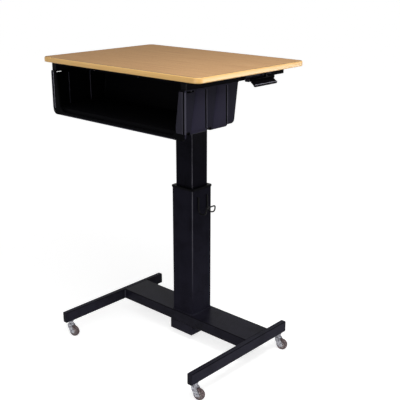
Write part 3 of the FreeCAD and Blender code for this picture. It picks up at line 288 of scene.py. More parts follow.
# High-pressure laminate with a printed beech face: matt, warm tan, long fine grain along the
# desk's width and short darker flecks
laminateLook = {
    "name": "laminate_printed_beech_matt", "tones": ("b18962", "bf976d", "caa379"), "toneAt": (0.3, 0.5, 0.72),
    "grainSize": (220, 5, 1000), "grain": {"Scale": 1, "Detail": 6, "Roughness": 0.62, "Distortion": 0.4},
    "fleckSize": (14, 1.6, 1000),  # beech flecks are about 0.5 mm wide, drawn coarser to show
    "fleck": "9f7852", "fleckAt": (0.12, 0.3), "fleckShare": 0.6,
    "texture": noise(1.5, 2), "bump": (0.03, 0.3), "roughness": (0.5, 0.6),
    "ior": 1.5, "specular": 0.004,
}


def beechLaminate(look):
    material, tree, place = startMaterial(look["name"])
    along, short = [addNode(tree, "Mapping", {"Scale": [perMetre(size) for size in look[key]]},
                            {"Vector": place}, "Vector") for key in ("grainSize", "fleckSize")]
    grain = addNode(tree, "TexNoise", look["grain"], {"Vector": along}, "Fac")
    tone = addNode(tree, "ValToRGB", {"stops": toneStops(look)}, {"Fac": grain}, "Color")
    cells = addNode(tree, "TexVoronoi", {"Scale": 1}, {"Vector": short}, "Distance")
    whole, none = look["fleckAt"]
    flecks = addNode(tree, "MapRange",
                     {"From Min": whole, "From Max": none, "To Min": look["fleckShare"], "To Max": 0},
                     {"Value": cells}, "Result")
    face = addNode(tree, "Mix", {"data_type": "RGBA", 7: hexColour(look["fleck"])}, {0: flecks, 6: tone}, 2)
    texture = addNode(tree, "TexNoise", look["texture"], {"Vector": place}, "Fac")
    return finishMaterial(material, look, face, grain, texture)


# Particle board, pressed wood chips: dull, each chip its own shade of tan
boardLook = {
    "name": "particle_board_pressed", "tones": ("8d6a45", "b08b5f", "caa67a"), "toneAt": (0.2, 0.5, 0.8),
    "chipSize": 4, "bump": (0.15, 0.5), "roughness": 0.75,
}


def particleBoard(look):
    material, tree, place = startMaterial(look["name"])
    chips = addNode(tree, "TexVoronoi", {"Scale": perMetre(look["chipSize"])}, {"Vector": place})
    tone = addNode(tree, "ValToRGB", {"stops": toneStops(look)}, {"Fac": chips.outputs["Color"]}, "Color")
    return finishMaterial(material, look, tone, None, chips.outputs["Distance"])


steel, weldSteel, frameShadeSteel, outerTube, innerTube, footTube, barTube = map(cloudyFinish, (
    powderCoatLook, weldLook, frameShadeLook, outerTubeLook, innerTubeLook, footLook, barLook))
capPlastic, footPlastic, boxPlastic, beadHighlightPlastic, lipHighlightPlastic = map(cloudyFinish, (
    capLook, footCapLook, boxLook, beadHighlightLook, lipHighlightLook))
litCornerPlastic, gapPlastic, tread, nylon, dip = map(cloudyFinish, (
    litCornerLook, gapLook, treadLook, hubLook, dipLook))
band, glue, backer, zinc, chrome = map(cloudyFinish, (bandLook, glueLook, backerLook, zincLook, chromeLook))
laminate, board = beechLaminate(laminateLook), particleBoard(boardLook)
print("materials made")

# The finish of every solid that is shown as it is
slotFinish = {
    "powder_coat_black": steel, "box_plastic": boxPlastic, "cap_plastic": capPlastic, "laminate": laminate,
    "edge_band": band, "board": board, "hook_coat": dip, "zinc": zinc, "chrome_rod": chrome,
    "wheel_rubber": tread,
}
topFrame = ("left_side_rail", "right_side_rail", "front_cross_rail", "rear_cross_rail", "front_flat_bar",
            "rear_flat_bar")
nodeFinish = {
    **dict.fromkeys(topFrame, frameShadeSteel), "backing_sheet": backer, "outer_column": outerTube,
    "inner_column": innerTube, "left_foot": footTube, "right_foot": footTube, "crossbar": barTube,
}
for part in frame["record"]["subparts"]:
    solid = nodes[part["node"]]
    finish = nodeFinish.get(part["node"], slotFinish[part["material_slot"]])
    if solid.material_slots:
        for holder in solid.material_slots:
            holder.material = finish
    else:
        solid.data.materials.append(finish)
print("solids finished")


def angles(start, sweep, steps):  # evenly spaced along an arc, degrees in and radians out
    return [radians(start + sweep * k / steps) for k in range(steps + 1)]


def arc(x, y, radius, start, sweep, steps):
    return [(x + radius * cos(a), y + radius * sin(a)) for a in angles(start, sweep, steps)]


def circle(x, y, radius, steps, way=1):  # way -1 runs clockwise, as a hole does
    return arc(x, y, radius, 0, 360 * way, steps)[:-1]


def loft(rings, loop=False):  # skin over rings of points, closed on itself or capped at both ends
    bm = bmesh.new()
    rows = [[bm.verts.new(point) for point in ring] for ring in rings]
    count = len(rows[0])
    for low, high in zip(rows, rows[1:] + (rows[:1] if loop else [])):
        for i in range(count):
            bm.faces.new((low[i], low[(i + 1) % count], high[(i + 1) % count], high[i]))
    if not loop:
        bm.faces.new(rows[0])
        bm.faces.new(rows[-1])
    bmesh.ops.remove_doubles(bm, verts=bm.verts, dist=seam)
    bmesh.ops.recalc_face_normals(bm, faces=bm.faces)
    return bm


def roundedRectangle(halfWide, halfHigh, radius, steps):  # outline points and their outward directions
    outline = []
    for cornerX, cornerY, start in ((1, 1, 0), (-1, 1, 90), (-1, -1, 180), (1, -1, 270)):
        middle = Vector((cornerX * (halfWide - radius), cornerY * (halfHigh - radius)))
        for turn in angles(start, 90, steps):
            way = Vector((cos(turn), sin(turn)))
            outline.append((middle + radius * way, way))
    return outline


def roundCorners(points, radius, steps=4, most=0.45):  # corners eased, each over at most this share of a side
    eased = []
    for i, point in enumerate(points):
        corner = Vector(point)
        ends = []
        for other in (points[i - 1], points[(i + 1) % len(points)]):
            way = Vector(other) - corner
            ends.append(corner + way.normalized() * min(radius, most * way.length))
        for k in range(steps + 1):
            t = k / steps
            eased.append((1 - t) ** 2 * ends[0] + 2 * t * (1 - t) * corner + t ** 2 * ends[1])
    return eased


def turned(profile, centre, axis, steps):  # a closed (radius, height) profile in mm, turned about an axis
    axis = Vector(axis).normalized()
    side = axis.orthogonal().normalized()
    up = axis.cross(side)
    rings = []
    for i in range(steps):
        angle = 2 * pi * i / steps
        way = side * cos(angle) + up * sin(angle)
        section = profile(angle) if callable(profile) else profile
        rings.append([Vector(centre) + way * (radius * mm) + axis * (height * mm) for radius, height in section])
    return loft(rings, loop=True)


def plate(outlines, thickness, edge):  # flat sheet in mm with holes and eased edges, centred on z = 0
    curve = bpy.data.curves.new("plateOutline", "CURVE")
    curve.dimensions, curve.fill_mode = "2D", "BOTH"
    curve.extrude, curve.bevel_depth, curve.bevel_resolution = (thickness / 2 - edge) * mm, edge * mm, 2
    curve.offset = -edge * mm
    for outline in outlines:
        spline = curve.splines.new("POLY")
        spline.points.add(len(outline) - 1)
        for point, (x, y) in zip(spline.points, outline):
            point.co = (x * mm, y * mm, 0, 1)
        spline.use_cyclic_u = True
    holder = bpy.data.objects.new("plateOutline", curve)
    mesh = bpy.data.meshes.new_from_object(holder)
    bm = bmesh.new()
    bm.from_mesh(mesh)
    bmesh.ops.remove_doubles(bm, verts=bm.verts, dist=seam)
    bmesh.ops.recalc_face_normals(bm, faces=bm.faces)
    bpy.data.objects.remove(holder)
    bpy.data.curves.remove(curve)
    bpy.data.meshes.remove(mesh)
    return bm


def joinUp(*parts):  # several meshes in one; a mesh may come with its placing matrix
    whole = bmesh.new()
    for part in parts:
        bm, matrix = part if isinstance(part, tuple) else (part, Matrix.Identity(4))
        mesh = bpy.data.meshes.new("part")
        bm.transform(matrix)
        bm.to_mesh(mesh)
        bm.free()
        whole.from_mesh(mesh)
        bpy.data.meshes.remove(mesh)
    return whole


def carve(body, cutter, near):  # exact boolean cut, as a new mesh
    made = []
    for bm in (body, cutter):
        mesh = bpy.data.meshes.new("carve")
        bm.to_mesh(mesh)
        bm.free()
        made.append(bpy.data.objects.new("carve", mesh))
        bpy.context.collection.objects.link(made[-1])
    cut = made[0].modifiers.new("cut", "BOOLEAN")
    cut.object, cut.solver = made[1], "EXACT"
    bpy.context.view_layer.update()
    result = bpy.data.meshes.new_from_object(made[0].evaluated_get(bpy.context.evaluated_depsgraph_get()))
    bm = bmesh.new()
    bm.from_mesh(result)
    bmesh.ops.remove_doubles(bm, verts=bm.verts, dist=near)
    bmesh.ops.dissolve_degenerate(bm, edges=bm.edges, dist=near)
    for thing in made:
        mesh = thing.data
        bpy.data.objects.remove(thing)
        bpy.data.meshes.remove(mesh)
    bpy.data.meshes.remove(result)
    return bm


def addPiece(name, bm, material, body, replaced=(), sharp=38):  # mesh to a piece that rides on a body
    for face in bm.faces:
        face.smooth = True
    for edge in bm.edges:
        edge.smooth = len(edge.link_faces) != 2 or edge.calc_face_angle() < radians(sharp)
    mesh = bpy.data.meshes.new(name)
    bm.to_mesh(mesh)
    bm.free()
    mesh.materials.append(material)
    piece = bpy.data.objects.new(name, mesh)
    bpy.context.collection.objects.link(piece)
    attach(piece, body)
    if replaced:
        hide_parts(*replaced)


# Edge band: a bullnose strip round the top, and the glue line inside it
edge = {"width": 4, "round": 3.5, "corner": 22, "arcSteps": 8, "cornerSteps": 20,
        "glueWidth": 3.4,  # about 0.5 mm on the real one, drawn wider to show
        "glueProud": 0.04, "glueDepth": 0.4}
bandLow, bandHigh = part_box("edge_band")


def bandRings(profile):  # a section in (out from the strip's inner side, height), carried round the top
    inset = edge["width"] * mm
    outline = roundedRectangle(bandHigh[0] - inset, bandHigh[1] - inset, edge["corner"] * mm - inset,
                               edge["cornerSteps"])
    return [[(*(place + way * out), height) for out, height in profile] for place, way in outline]


def bandProfile():  # flat inside, rounded above and below outside
    width, radius = edge["width"] * mm, edge["round"] * mm
    profile = [(0, bandLow[2]), (0, bandHigh[2])]
    for centre, start in ((bandHigh[2] - radius, 90), (bandLow[2] + radius, 0)):
        profile += arc(width - radius, centre, radius, start, -90, edge["arcSteps"])
    return profile


def glueProfile():
    half, top, low = edge["glueWidth"] / 2 * mm, edge["glueProud"] * mm, -edge["glueDepth"] * mm
    return [(out, bandHigh[2] + up) for out, up in ((-half, low), (-half, top), (half, top), (half, low))]


addPiece("edge_strip", loft(bandRings(bandProfile()), loop=True), band, "top", ["edge_band"])
addPiece("glue_line", loft(bandRings(glueProfile()), loop=True), glue, "top")
print("desktop edge made")

# Weld beads: overlapping puddles, so each run is rippled along its length
weld = {"leg": 4, "swell": (0.86, 0.1), "puddle": 2.8, "ripple": 0.16, "step": 0.35, "arcSteps": 7, "sink": 0.6,
        "columnCorner": 6, "cornerSteps": 14, "sharp": 70,
        "endSize": 0.35, "endRun": 3}  # a run starts at this share of its size and grows over this length


def beadProfile(along):  # convex fillet between two walls, (out from the corner, up from the floor)
    phase = 2 * pi * along / (weld["puddle"] * mm)
    leg = weld["leg"] * mm * (1 - weld["ripple"] * (0.5 - 0.5 * cos(phase)))
    flat, swell = weld["swell"]
    points = [(-weld["sink"] * mm, -weld["sink"] * mm)]
    for turn in angles(0, 90, weld["arcSteps"]):
        reach = leg * (flat + swell * sin(2 * turn))
        points.append((reach * cos(turn), reach * sin(turn)))
    return points


columnLow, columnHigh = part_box("outer_column")
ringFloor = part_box("column_weld")[0][2]
columnMid = Vector(((columnLow[0] + columnHigh[0]) / 2, (columnLow[1] + columnHigh[1]) / 2))
halfColumn = (columnHigh[0] - columnLow[0]) / 2


def columnBead():  # one ring round the column's foot
    outline = roundedRectangle(halfColumn, halfColumn, weld["columnCorner"] * mm, weld["cornerSteps"])
    rings, along = [], 0
    for i, (place, way) in enumerate(outline):
        nextPlace, nextWay = outline[(i + 1) % len(outline)]
        gap = (nextPlace - place).length
        count = max(1, round(gap / (weld["step"] * mm)))
        for k in range(count):
            t = k / count
            spot, out = place.lerp(nextPlace, t) + columnMid, way.lerp(nextWay, t).normalized()
            rings.append([(*(spot + out * across), ringFloor + up)
                          for across, up in beadProfile(along + gap * t)])
        along += gap
    return loft(rings, loop=True)


addPiece("column_bead", columnBead(), steel, "base", ["column_weld"], weld["sharp"])
weldLow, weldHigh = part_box("frame_welds")
barLow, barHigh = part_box("crossbar")


def cornerBead(x, y, wayX, wayY):  # an upright run in the corner of a foot and the crossbar
    rings = []
    count = round((weldHigh[2] - weldLow[2]) / (weld["step"] * mm))
    for i in range(count + 1):
        up = weldLow[2] + (weldHigh[2] - weldLow[2]) * i / count
        taper = min(1, weld["endSize"] + min(i, count - i) * weld["step"] / weld["endRun"])
        rings.append([(x + wayX * taper * a, y + wayY * taper * b, up) for a, b in beadProfile(up)])
    return loft(rings)


cornerBeads = [cornerBead(side * weldHigh[0], y, -side, way)
               for side in (-1, 1) for y, way in ((barLow[1], -1), (barHigh[1], 1))]
addPiece("corner_beads", joinUp(*cornerBeads), weldSteel, "base", ["frame_welds"],
         weld["sharp"])
print("weld beads made")

# Pan-head screws with a cross recess
screw = {"head": 8, "headHeight": 2.6, "dome": 0.55, "domeSteps": 8, "shank": 3.9, "tip": 2, "point": 0.3,
         "steps": 32, "recess": 4.8, "recessWidth": 1.1, "recessDepth": 1.5, "recessTaper": (1.1, 0.55),
         "turn": (0.4, 1.3),  # the first recess, and how much further each next one is turned
         "seam": 0.01}  # points nearer than this are one


def screwMesh(length):  # head down, its seat at z = 0
    head, height, shank = screw["head"] / 2, screw["headHeight"], screw["shank"] / 2
    profile = [(0, length), (shank * screw["point"], length), (shank, length - screw["tip"]), (shank, 0),
               (head, 0)]
    profile += [(head * cos(a), -height * (1 - screw["dome"]) - height * screw["dome"] * sin(a))
                for a in angles(0, 90, screw["domeSteps"])]
    wide, reach, deep = screw["recessWidth"] / 2, screw["recess"] / 2, screw["recessDepth"]
    arm, arms = [(reach, wide), (wide, wide), (wide, reach)], []
    for _ in range(4):  # a quarter turn each
        arms += arm
        arm = [(-y, x) for x, y in arm]
    mouth, floor = screw["recessTaper"]
    cross = loft([[(x * size * mm, y * size * mm, z * mm) for x, y in arms]
                  for size, z in ((mouth, -height - deep), (floor, deep - height))])
    return carve(turned(profile, (0, 0, 0), (0, 0, 1), screw["steps"]), cross, screw["seam"] * mm)


def screwSet(name, node, rows):
    low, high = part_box(node)
    radius, seat = screw["head"] / 2 * mm, low[2] + screw["headHeight"] * mm
    first, more = screw["turn"]
    places = [(x, low[1] + radius + (high[1] - low[1] - 2 * radius) * row, seat)
              for x in (low[0] + radius, high[0] - radius) for row in rows]
    turns = [Matrix.Translation(place) @ Matrix.Rotation(first + more * i, 4, "Z")
             for i, place in enumerate(places)]
    screws = [(screwMesh((high[2] - seat) / mm), turn) for turn in turns]
    addPiece(name, joinUp(*screws), zinc, "top", [node])


screwSet("top_screws", "desktop_screws", (0, 1))
screwSet("box_hanging_screws", "box_screws", (0, 0.5, 1))
print("screws made")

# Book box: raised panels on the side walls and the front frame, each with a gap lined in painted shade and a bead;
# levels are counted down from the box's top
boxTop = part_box("book_box")[1][2] / mm
boxSide = {"wall": 304, "rim": 4, "hem": 119, "ends": (-165, -73), "slope": 0.075, "rows": 14,
           "levels": ((131, 67), (0, 45)),  # a panel's width at two levels
           "skin": 1.2, "ease": 12, "easeAt": (0.15, 0.35, 0.6, 0.8, 1), "gap": 4.6, "bead": 2.8, "rise": 1.9,
           "sink": 0.6, "round": 0.8, "cut": 0.3,
           "lining": (0.1, 0.2, 0.15)}  # how far it lies above the slope, under its neighbours, before the bead
boxFront = {"face": -254, "foot": 125, "depth": 3.4, "proud": 1.3, "soft": 1.2, "steps": 4, "sink": 0.6,
            "strip": (302.8, 307.4), "edge": (293.8, 297.8), "edgeProud": 1.65,
            "lining": (297.6, 303.4, 0.15, 0.1),  # painted-shade lining: from, to, proud and rounding
            "pad": ((298, 4), (298, 125), (270.5, 125), (269.8, 109), (283.4, 4)), "padCorner": 1.5,
            "padEase": 0.5, "bead": 0.9, "beadSteps": 12, "beadStart": 1}
boxLip = {"half": 262, "level": 144.2, "radius": 1.1, "tip": (0.4, 2)}  # rolled line along the lip's lower edge
boxRibs = {"rows": (-187.5, -95.5), "wall": 301, "span": (12, 118), "proud": 2.6, "half": 1.2,
           "section": ((0, -1), (0.6, -1), (0.9, -0.6), (1, 0), (0.9, 0.6), (0.6, 1), (0, 1))}


def sideSections(side, end, sectionAt):  # a section in (along y, out from the wall), carried down the wall
    (lowLevel, lowWidth), (highLevel, highWidth) = boxSide["levels"]
    rings = []
    for row in range(boxSide["rows"] + 1):
        level = boxSide["rim"] + (boxSide["hem"] - boxSide["rim"]) * row / boxSide["rows"]
        width = lowWidth + (highWidth - lowWidth) * (level - lowLevel) / (highLevel - lowLevel)
        rings.append([(side * (boxSide["wall"] + out) * mm, y * mm, (boxTop - level) * mm)
                      for y, out in sectionAt(end - width, end)])
    return loft(rings)


def softEdge(end, top, way):  # eased upper corner and the side under it; way points back over the top
    soft, cut = boxSide["round"], boxSide["round"] * boxSide["cut"]
    return [(end + way * soft, top), (end + way * cut, top - cut), (end, top - soft), (end, -boxSide["sink"])]


def panelSection(start, end):  # sloped skin that stops short of the bead
    stop, ease = end - boxSide["bead"] - boxSide["gap"], boxSide["ease"]
    slope, skin = boxSide["slope"], boxSide["skin"]
    rise = [(start + ease * t, slope * ease * t + skin * t * t * (3 - 2 * t)) for t in boxSide["easeAt"]]
    return [(start, -boxSide["sink"])] + rise + softEdge(stop, slope * (stop - start) + skin, -1)


def beadSection(start, end):
    top = boxSide["slope"] * (end - start) + boxSide["rise"]
    return softEdge(end - boxSide["bead"], top, 1)[::-1] + softEdge(end + boxSide["sink"], top, -1)


def gapSection(start, end):  # dark lining of the gap, up the bead's near side: painted shade
    stop, first, sink = end - boxSide["bead"] - boxSide["gap"], end - boxSide["bead"], boxSide["sink"]
    lift, lap, before = boxSide["lining"]
    floor = boxSide["slope"] * (end - start) + lift
    top = floor + boxSide["rise"] - boxSide["round"]
    return [(stop - lap, -sink), (stop - lap, floor), (first - before, floor), (first - before, top),
            (first + lap, top), (first + lap, -sink)]


def frontStrip(side, left, right, out, soft):  # upright bar on the front frame
    half, deep = (right - left) / 2, (out + boxFront["depth"]) / 2
    middle = boxFront["face"] - out + deep
    outline = roundedRectangle(half, deep, soft, boxFront["steps"])
    return loft([[(side * (left + half + place.x) * mm, (middle + place.y) * mm, (boxTop - level) * mm)
                  for place, _ in outline] for level in (boxFront["foot"], boxSide["rim"])])


def frontPad(side):
    thick = boxFront["proud"] + boxFront["sink"]
    pad = roundCorners([(side * x, boxTop - down) for x, down in boxFront["pad"]], boxFront["padCorner"])
    middle = (boxFront["face"] - boxFront["proud"] + thick / 2) * mm
    return plate([pad], thick, boxFront["padEase"]), Matrix.Translation((0, middle, 0)) @ upright


def mouthBead(side):  # thin rolled edge along the mouth
    (topX, topDown), (lowX, lowDown) = boxFront["pad"][4], boxFront["pad"][3]
    radius, y = boxFront["bead"], boxFront["face"] - boxFront["proud"]
    section = circle(0, 0, radius, boxFront["beadSteps"])
    return loft([[((side * (x + radius) + px) * mm, (y + py) * mm, (boxTop - down) * mm) for px, py in section]
                 for x, down in ((topX, topDown + boxFront["beadStart"]), (lowX, lowDown))])


def lipBead():
    half, (size, length) = boxLip["half"], boxLip["tip"]
    return loft([[(x * mm, (boxFront["face"] + py) * mm, (boxTop - boxLip["level"] + pz) * mm)
                  for py, pz in circle(0, 0, boxLip["radius"] * share, boxFront["beadSteps"])]
                 for x, share in ((-half, size), (length - half, 1), (half - length, 1), (half, size))])


def ribCap(side, y):  # rounded edge on an inner rib
    return loft([[(side * (boxRibs["wall"] - boxRibs["proud"] * up) * mm, (y + boxRibs["half"] * along) * mm,
                   (boxTop - down) * mm) for up, along in boxRibs["section"]] for down in boxRibs["span"]])


panels, beads, gaps, corner, leftEdge = [], [lipBead()], [], [], []
for side in (-1, 1):
    for end in boxSide["ends"]:
        panels.append(sideSections(side, end, panelSection))
        beads.append(sideSections(side, end, beadSection))
        gaps.append(sideSections(side, end, gapSection))
    (corner if side > 0 else panels).extend([frontPad(side), mouthBead(side)])
    beads.append(frontStrip(side, *boxFront["strip"], boxFront["proud"], boxFront["soft"]))
    padEdge = frontStrip(side, *boxFront["edge"], boxFront["edgeProud"], boxFront["soft"])
    (beads if side > 0 else leftEdge).append(padEdge)
    beads += [ribCap(side, y) for y in boxRibs["rows"]]
    gaps.append(frontStrip(side, *boxFront["lining"]))
for name, parts, finish in (("box_panels", panels, boxPlastic), ("box_beads", beads, beadHighlightPlastic),
                            ("box_panel_gaps", gaps, gapPlastic), ("box_right_corner", corner, litCornerPlastic),
                            ("box_left_edge", leftEdge, lipHighlightPlastic)):
    addPiece(name, joinUp(*parts), finish, "top")
print("box panels made")

# Feet: pillowed end caps pressed into the tubes; layers are (in from the tube's outline, out of its end)
footCap = {"corner": 3, "leastCorner": 0.8, "steps": 5,
           "layers": ((3, -14), (2.2, -12), (2.2, 0), (0, 0),  # plug
                      (0, 1.5), (0.25, 2.1), (0.9, 2.6), (2.2, 2.85), (5, 3))}  # flange and its pillowed face


def capMesh(low, high, y, way):
    (x, _, z), (halfWide, _, halfHigh) = (low + high) / 2, (high - low) / 2
    rings = []
    for inset, out in footCap["layers"]:
        radius = max(footCap["corner"] - inset, footCap["leastCorner"]) * mm
        outline = roundedRectangle(halfWide - inset * mm, halfHigh - inset * mm, radius, footCap["steps"])
        rings.append([(x + place.x, y + way * out * mm, z + place.y) for place, _ in outline])
    return loft(rings)


caps = []
for side in ("left", "right"):
    low, high = [Vector(end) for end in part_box(f"{side}_foot")]
    caps += [capMesh(low, high, low.y, -1), capMesh(low, high, high.y, 1)]
addPiece("foot_caps", joinUp(*caps), footPlastic, "base", ["foot_end_caps"])
print("foot caps made")

# Casters: soft tread on a ribbed nylon centre, riveted axle, pressed fork and plated stem
wheel = {"radius": 20, "width": 15, "crown": 0.7, "crownSteps": 6, "shoulder": 2.4, "shoulderSteps": 5,
         "rim": 15.5,
         "lip": ((-0.2, 1.2), (-0.2, 0.4), (0.3, 0)),  # the tread's sides: out from the rim, in from the side
         "bore": 2.55, "boss": 7.5, "bossEase": 0.6, "bossFoot": 0.7, "web": 4.4, "ribs": 6, "ribHeight": 6.6,
         "ribAt": (0.36, 0.06), "ledge": 0.7, "ledgeAt": (1.6, 1, 0.1), "treadSteps": 64, "hubSteps": 144}
axle = {"shank": 2.5, "washer": 5, "washerThick": 0.6, "washerEdge": (0.2, 0.7), "head": 4, "dome": 1.5,
        "domeSteps": 6, "steps": 32}
fork = {"top": 46, "half": 10, "inside": 8.5, "outside": 10.5, "bend": 3, "bendSteps": 5, "endEase": 0.4,
        "saddle": 7, "heel": 8.5, "cut": 1, "skirt": 12, "eye": 7.2, "eyeArc": (-90, 125, 14), "corner": 2.5,
        "sheet": 1.7, "edge": 0.4, "holeSteps": 24, "cupSteps": 40,
        "cup": ((8.6, -0.5), (10.1, -0.5), (10.1, 2.5), (9.8, 3.1), (9.2, 3.4), (8.8, 3.4), (8.6, 3.2))}
stem = {"steps": 40, "profile": (
    (0, 41.3), (5, 41.3), (6, 42.3), (6, 43.7), (4, 43.7), (4, 46.3),  # rivet head under the fork
    (7.5, 46.3), (8, 46.8), (8, 55), (7.2, 55.4), (7.2, 56.4), (8, 57),  # neck with its groove
    (9.5, 57), (10, 57.5), (10, 59.5), (9.5, 60),  # flange under the foot
    (4, 60), (4, 73), (3, 74), (0, 74))}  # shank in the foot


def treadMesh(centre, axis):
    half, shoulder, edgeRadius = wheel["width"] / 2, wheel["shoulder"], wheel["radius"] - wheel["crown"]
    flat, steps = half - shoulder, wheel["crownSteps"]
    across = [k / steps - 1 for k in range(2 * steps + 1)]  # -1 to 1
    crown = [(wheel["radius"] - wheel["crown"] * t ** 2, flat * t) for t in across]
    left = [(wheel["rim"] + out, back - half) for out, back in wheel["lip"]]
    left += arc(edgeRadius - shoulder, -flat, shoulder, -90, 90, wheel["shoulderSteps"])[:-1]
    right = [(r, -x) for r, x in reversed(left)]
    return turned(left + crown + right, centre, axis, wheel["treadSteps"])


def hubMesh(centre, axis):
    half, boss, ease = wheel["width"] / 2, wheel["boss"], wheel["bossEase"]
    ribFrom, ribBlend = wheel["ribAt"]

    def section(angle):  # the web thickens to a rib six times round
        across = abs((angle * wheel["ribs"] / (2 * pi)) % 1 - 0.5)
        rib = max(0, min(1, (across - ribFrom) / ribBlend))
        web = wheel["web"] + (wheel["ribHeight"] - wheel["web"]) * rib
        ledge = half - wheel["ledge"]
        side = [(wheel["bore"], half), (boss - ease, half), (boss, half - ease), (boss + wheel["bossFoot"], web)]
        side += [(wheel["rim"] - inset, x) for inset, x in zip(wheel["ledgeAt"], (web, ledge, ledge))]
        return side + [(r, -x) for r, x in reversed(side)]

    return turned(section, centre, axis, wheel["hubSteps"])


def axleMesh(centre, axis):
    out, thick, washer, head = fork["outside"], axle["washerThick"], axle["washer"], axle["head"]
    face = out + thick
    edgeIn, edgeUp = axle["washerEdge"]
    side = [(axle["shank"], out), (washer, out), (washer, out + thick * edgeUp), (washer - edgeIn, face),
            (head, face)]
    side += [(head * cos(a), face + (axle["dome"] - thick) * sin(a))
             for a in angles(0, 90, axle["domeSteps"])[1:]]
    return turned([(r, -x) for r, x in reversed(side)] + side, centre, axis, axle["steps"])


def saddleMesh():  # the fork's bent top, a U section drawn along the heading
    top, half, out, bend, ease = fork["top"], fork["half"], fork["outside"], fork["bend"], fork["endEase"]
    outer, inner = [[(side, top - fork["saddle"])] + arc(out - bend, top - bend, radius, 0, 90, fork["bendSteps"])
                    for side, radius in ((out, bend), (fork["inside"], bend - out + fork["inside"]))]
    section = outer + [(-y, z) for y, z in reversed(outer)] + [(-y, z) for y, z in inner] + inner[::-1]
    return loft([[(x * mm, y * (1 - cut / out) * mm, (z - cut) * mm) for y, z in section]
                 for x, cut in ((-half, ease), (ease - half, 0), (half - ease, 0), (half, ease))])


def cheekMesh(trail):  # one side of the fork, drawn in its own plane
    top, half, eye, axleUp = fork["top"], fork["half"], fork["eye"], wheel["radius"]
    neck = top - fork["bend"]
    outline = [(half - fork["cut"], neck), (fork["cut"] - half, neck), (-half, top - fork["heel"]),
               (trail - fork["skirt"], axleUp - eye)]
    outline += arc(trail, axleUp, eye, *fork["eyeArc"])
    hole = circle(trail, axleUp, axle["shank"], fork["holeSteps"], -1)
    return plate([roundCorners(outline, fork["corner"]), hole], fork["sheet"], fork["edge"])


def forkMesh(place, heading, trail):
    cup = turned([(r, fork["top"] + up) for r, up in fork["cup"]], (0, 0, 0), (0, 0, 1), fork["cupSteps"])
    turn = Matrix.Translation((place.x, place.y, 0)) @ Matrix.Rotation(heading, 4, "Z")
    side = (fork["inside"] + fork["outside"]) / 2 * mm
    parts = [(saddleMesh(), turn), (cup, turn)]
    parts += [(cheekMesh(trail), turn @ Matrix.Translation((0, way * side, 0)) @ upright) for way in (-1, 1)]
    return joinUp(*parts)


stems = []
for key in ("left_front", "left_rear", "right_front", "right_rear"):
    swivel, roll = joints[f"{key}_swivel"], joints[f"{key}_roll"]
    place, centre = Vector(swivel["pos_m"]), Vector(roll["pos_m"])
    reach = (centre - place).xy
    heading, trail = atan2(reach.y, reach.x), reach.length / mm
    addPiece(f"{key}_tread", treadMesh(centre, roll["axis"]), tread, f"{key}_wheel",
             [f"{key}_caster_wheel"])
    addPiece(f"{key}_hub", hubMesh(centre, roll["axis"]), nylon, f"{key}_wheel")
    addPiece(f"{key}_axle_rivet", axleMesh(centre, roll["axis"]), zinc, f"{key}_fork",
             [f"{key}_caster_axle"])
    addPiece(f"{key}_pressed_fork", forkMesh(place, heading, trail), zinc, f"{key}_fork",
             [f"{key}_caster_fork"])
    stems.append(turned(stem["profile"], (place.x, place.y, 0), (0, 0, 1), stem["steps"]))
addPiece("plated_stems", joinUp(*stems), zinc, "base", ["caster_stems"])
print("casters made")

# Release paddle: a moulded finger plate with a rounded lip, its hub and its crank
paddle = {"reach": 20, "drop": 16, "plate": 2.5, "hub": 4, "lip": 4, "width": 111, "sections": 44, "sharp": 50,
          "corner": 4, "cornerAt": (0, 0.06, 0.16, 0.3, 0.5, 0.75, 1), "bendFrom": 6, "endEase": (0.45, 1.5),
          "overhang": 4, "hubProud": 0.1, "hubEase": 0.5, "bore": 2.55, "hubSteps": 40,
          "crank": 16, "crankThick": 4, "crankHalf": 4, "crankEdge": 0.4, "eye": 4.5, "eyeArc": (-20, 220, 20),
          "eyeHole": 2.6, "holeSteps": 24,
          "bead": 1.6, "beadAt": (-0.4, 2.9),  # its radius, and its place beyond the lip's middle and above it
          "beadEnds": ((0.6, 0.5), (1.6, 1)), "beadSteps": 16}
pivot = Vector(joints["paddle_tilt"]["pos_m"])
linkRow = joints["rocker_turn"]["pos_m"][1]
lipFrom = hypot(paddle["reach"], paddle["drop"])  # from the pivot to the lip's middle, along the plate
down = Vector((paddle["reach"], -paddle["drop"])) / lipFrom
up = Vector((paddle["drop"], paddle["reach"])) / lipFrom


def halfThick(t):  # round hub, flat plate, rounded lip
    hub = sqrt(max(paddle["hub"] ** 2 - t ** 2, 0))
    lip = sqrt(max(paddle["lip"] ** 2 - (t - lipFrom) ** 2, 0))
    return max(hub, lip, paddle["plate"] if 0 <= t <= lipFrom else 0)


def paddleMesh():
    first, last = -paddle["hub"], lipFrom + paddle["lip"]
    count, half, corner, bend = paddle["sections"], paddle["width"] / 2, paddle["corner"], paddle["bendFrom"]
    spots = [first + (last - first) * (0.5 - 0.5 * cos(pi * k / count)) for k in range(count + 1)]
    stations = [corner * step for step in paddle["cornerAt"]]
    most, run = paddle["endEase"]
    rings = []
    for y, gap in [(s - half, s) for s in stations] + [(half - s, s) for s in reversed(stations)]:
        reach = last - (corner - sqrt(corner ** 2 - (corner - gap) ** 2))
        ease = 1 - most * (1 - min(gap, run) / run) ** 2
        ring = []
        for way in (1, -1):
            for t in (spots if way > 0 else spots[-2:0:-1]):
                bent = t if t < bend else bend + (t - bend) * (reach - bend) / (last - bend)
                spot = down * bent + up * (way * halfThick(t) * ease)
                ring.append((pivot.x + spot.x * mm, pivot.y + y * mm, pivot.z + spot.y * mm))
        rings.append(ring)
    return loft(rings)


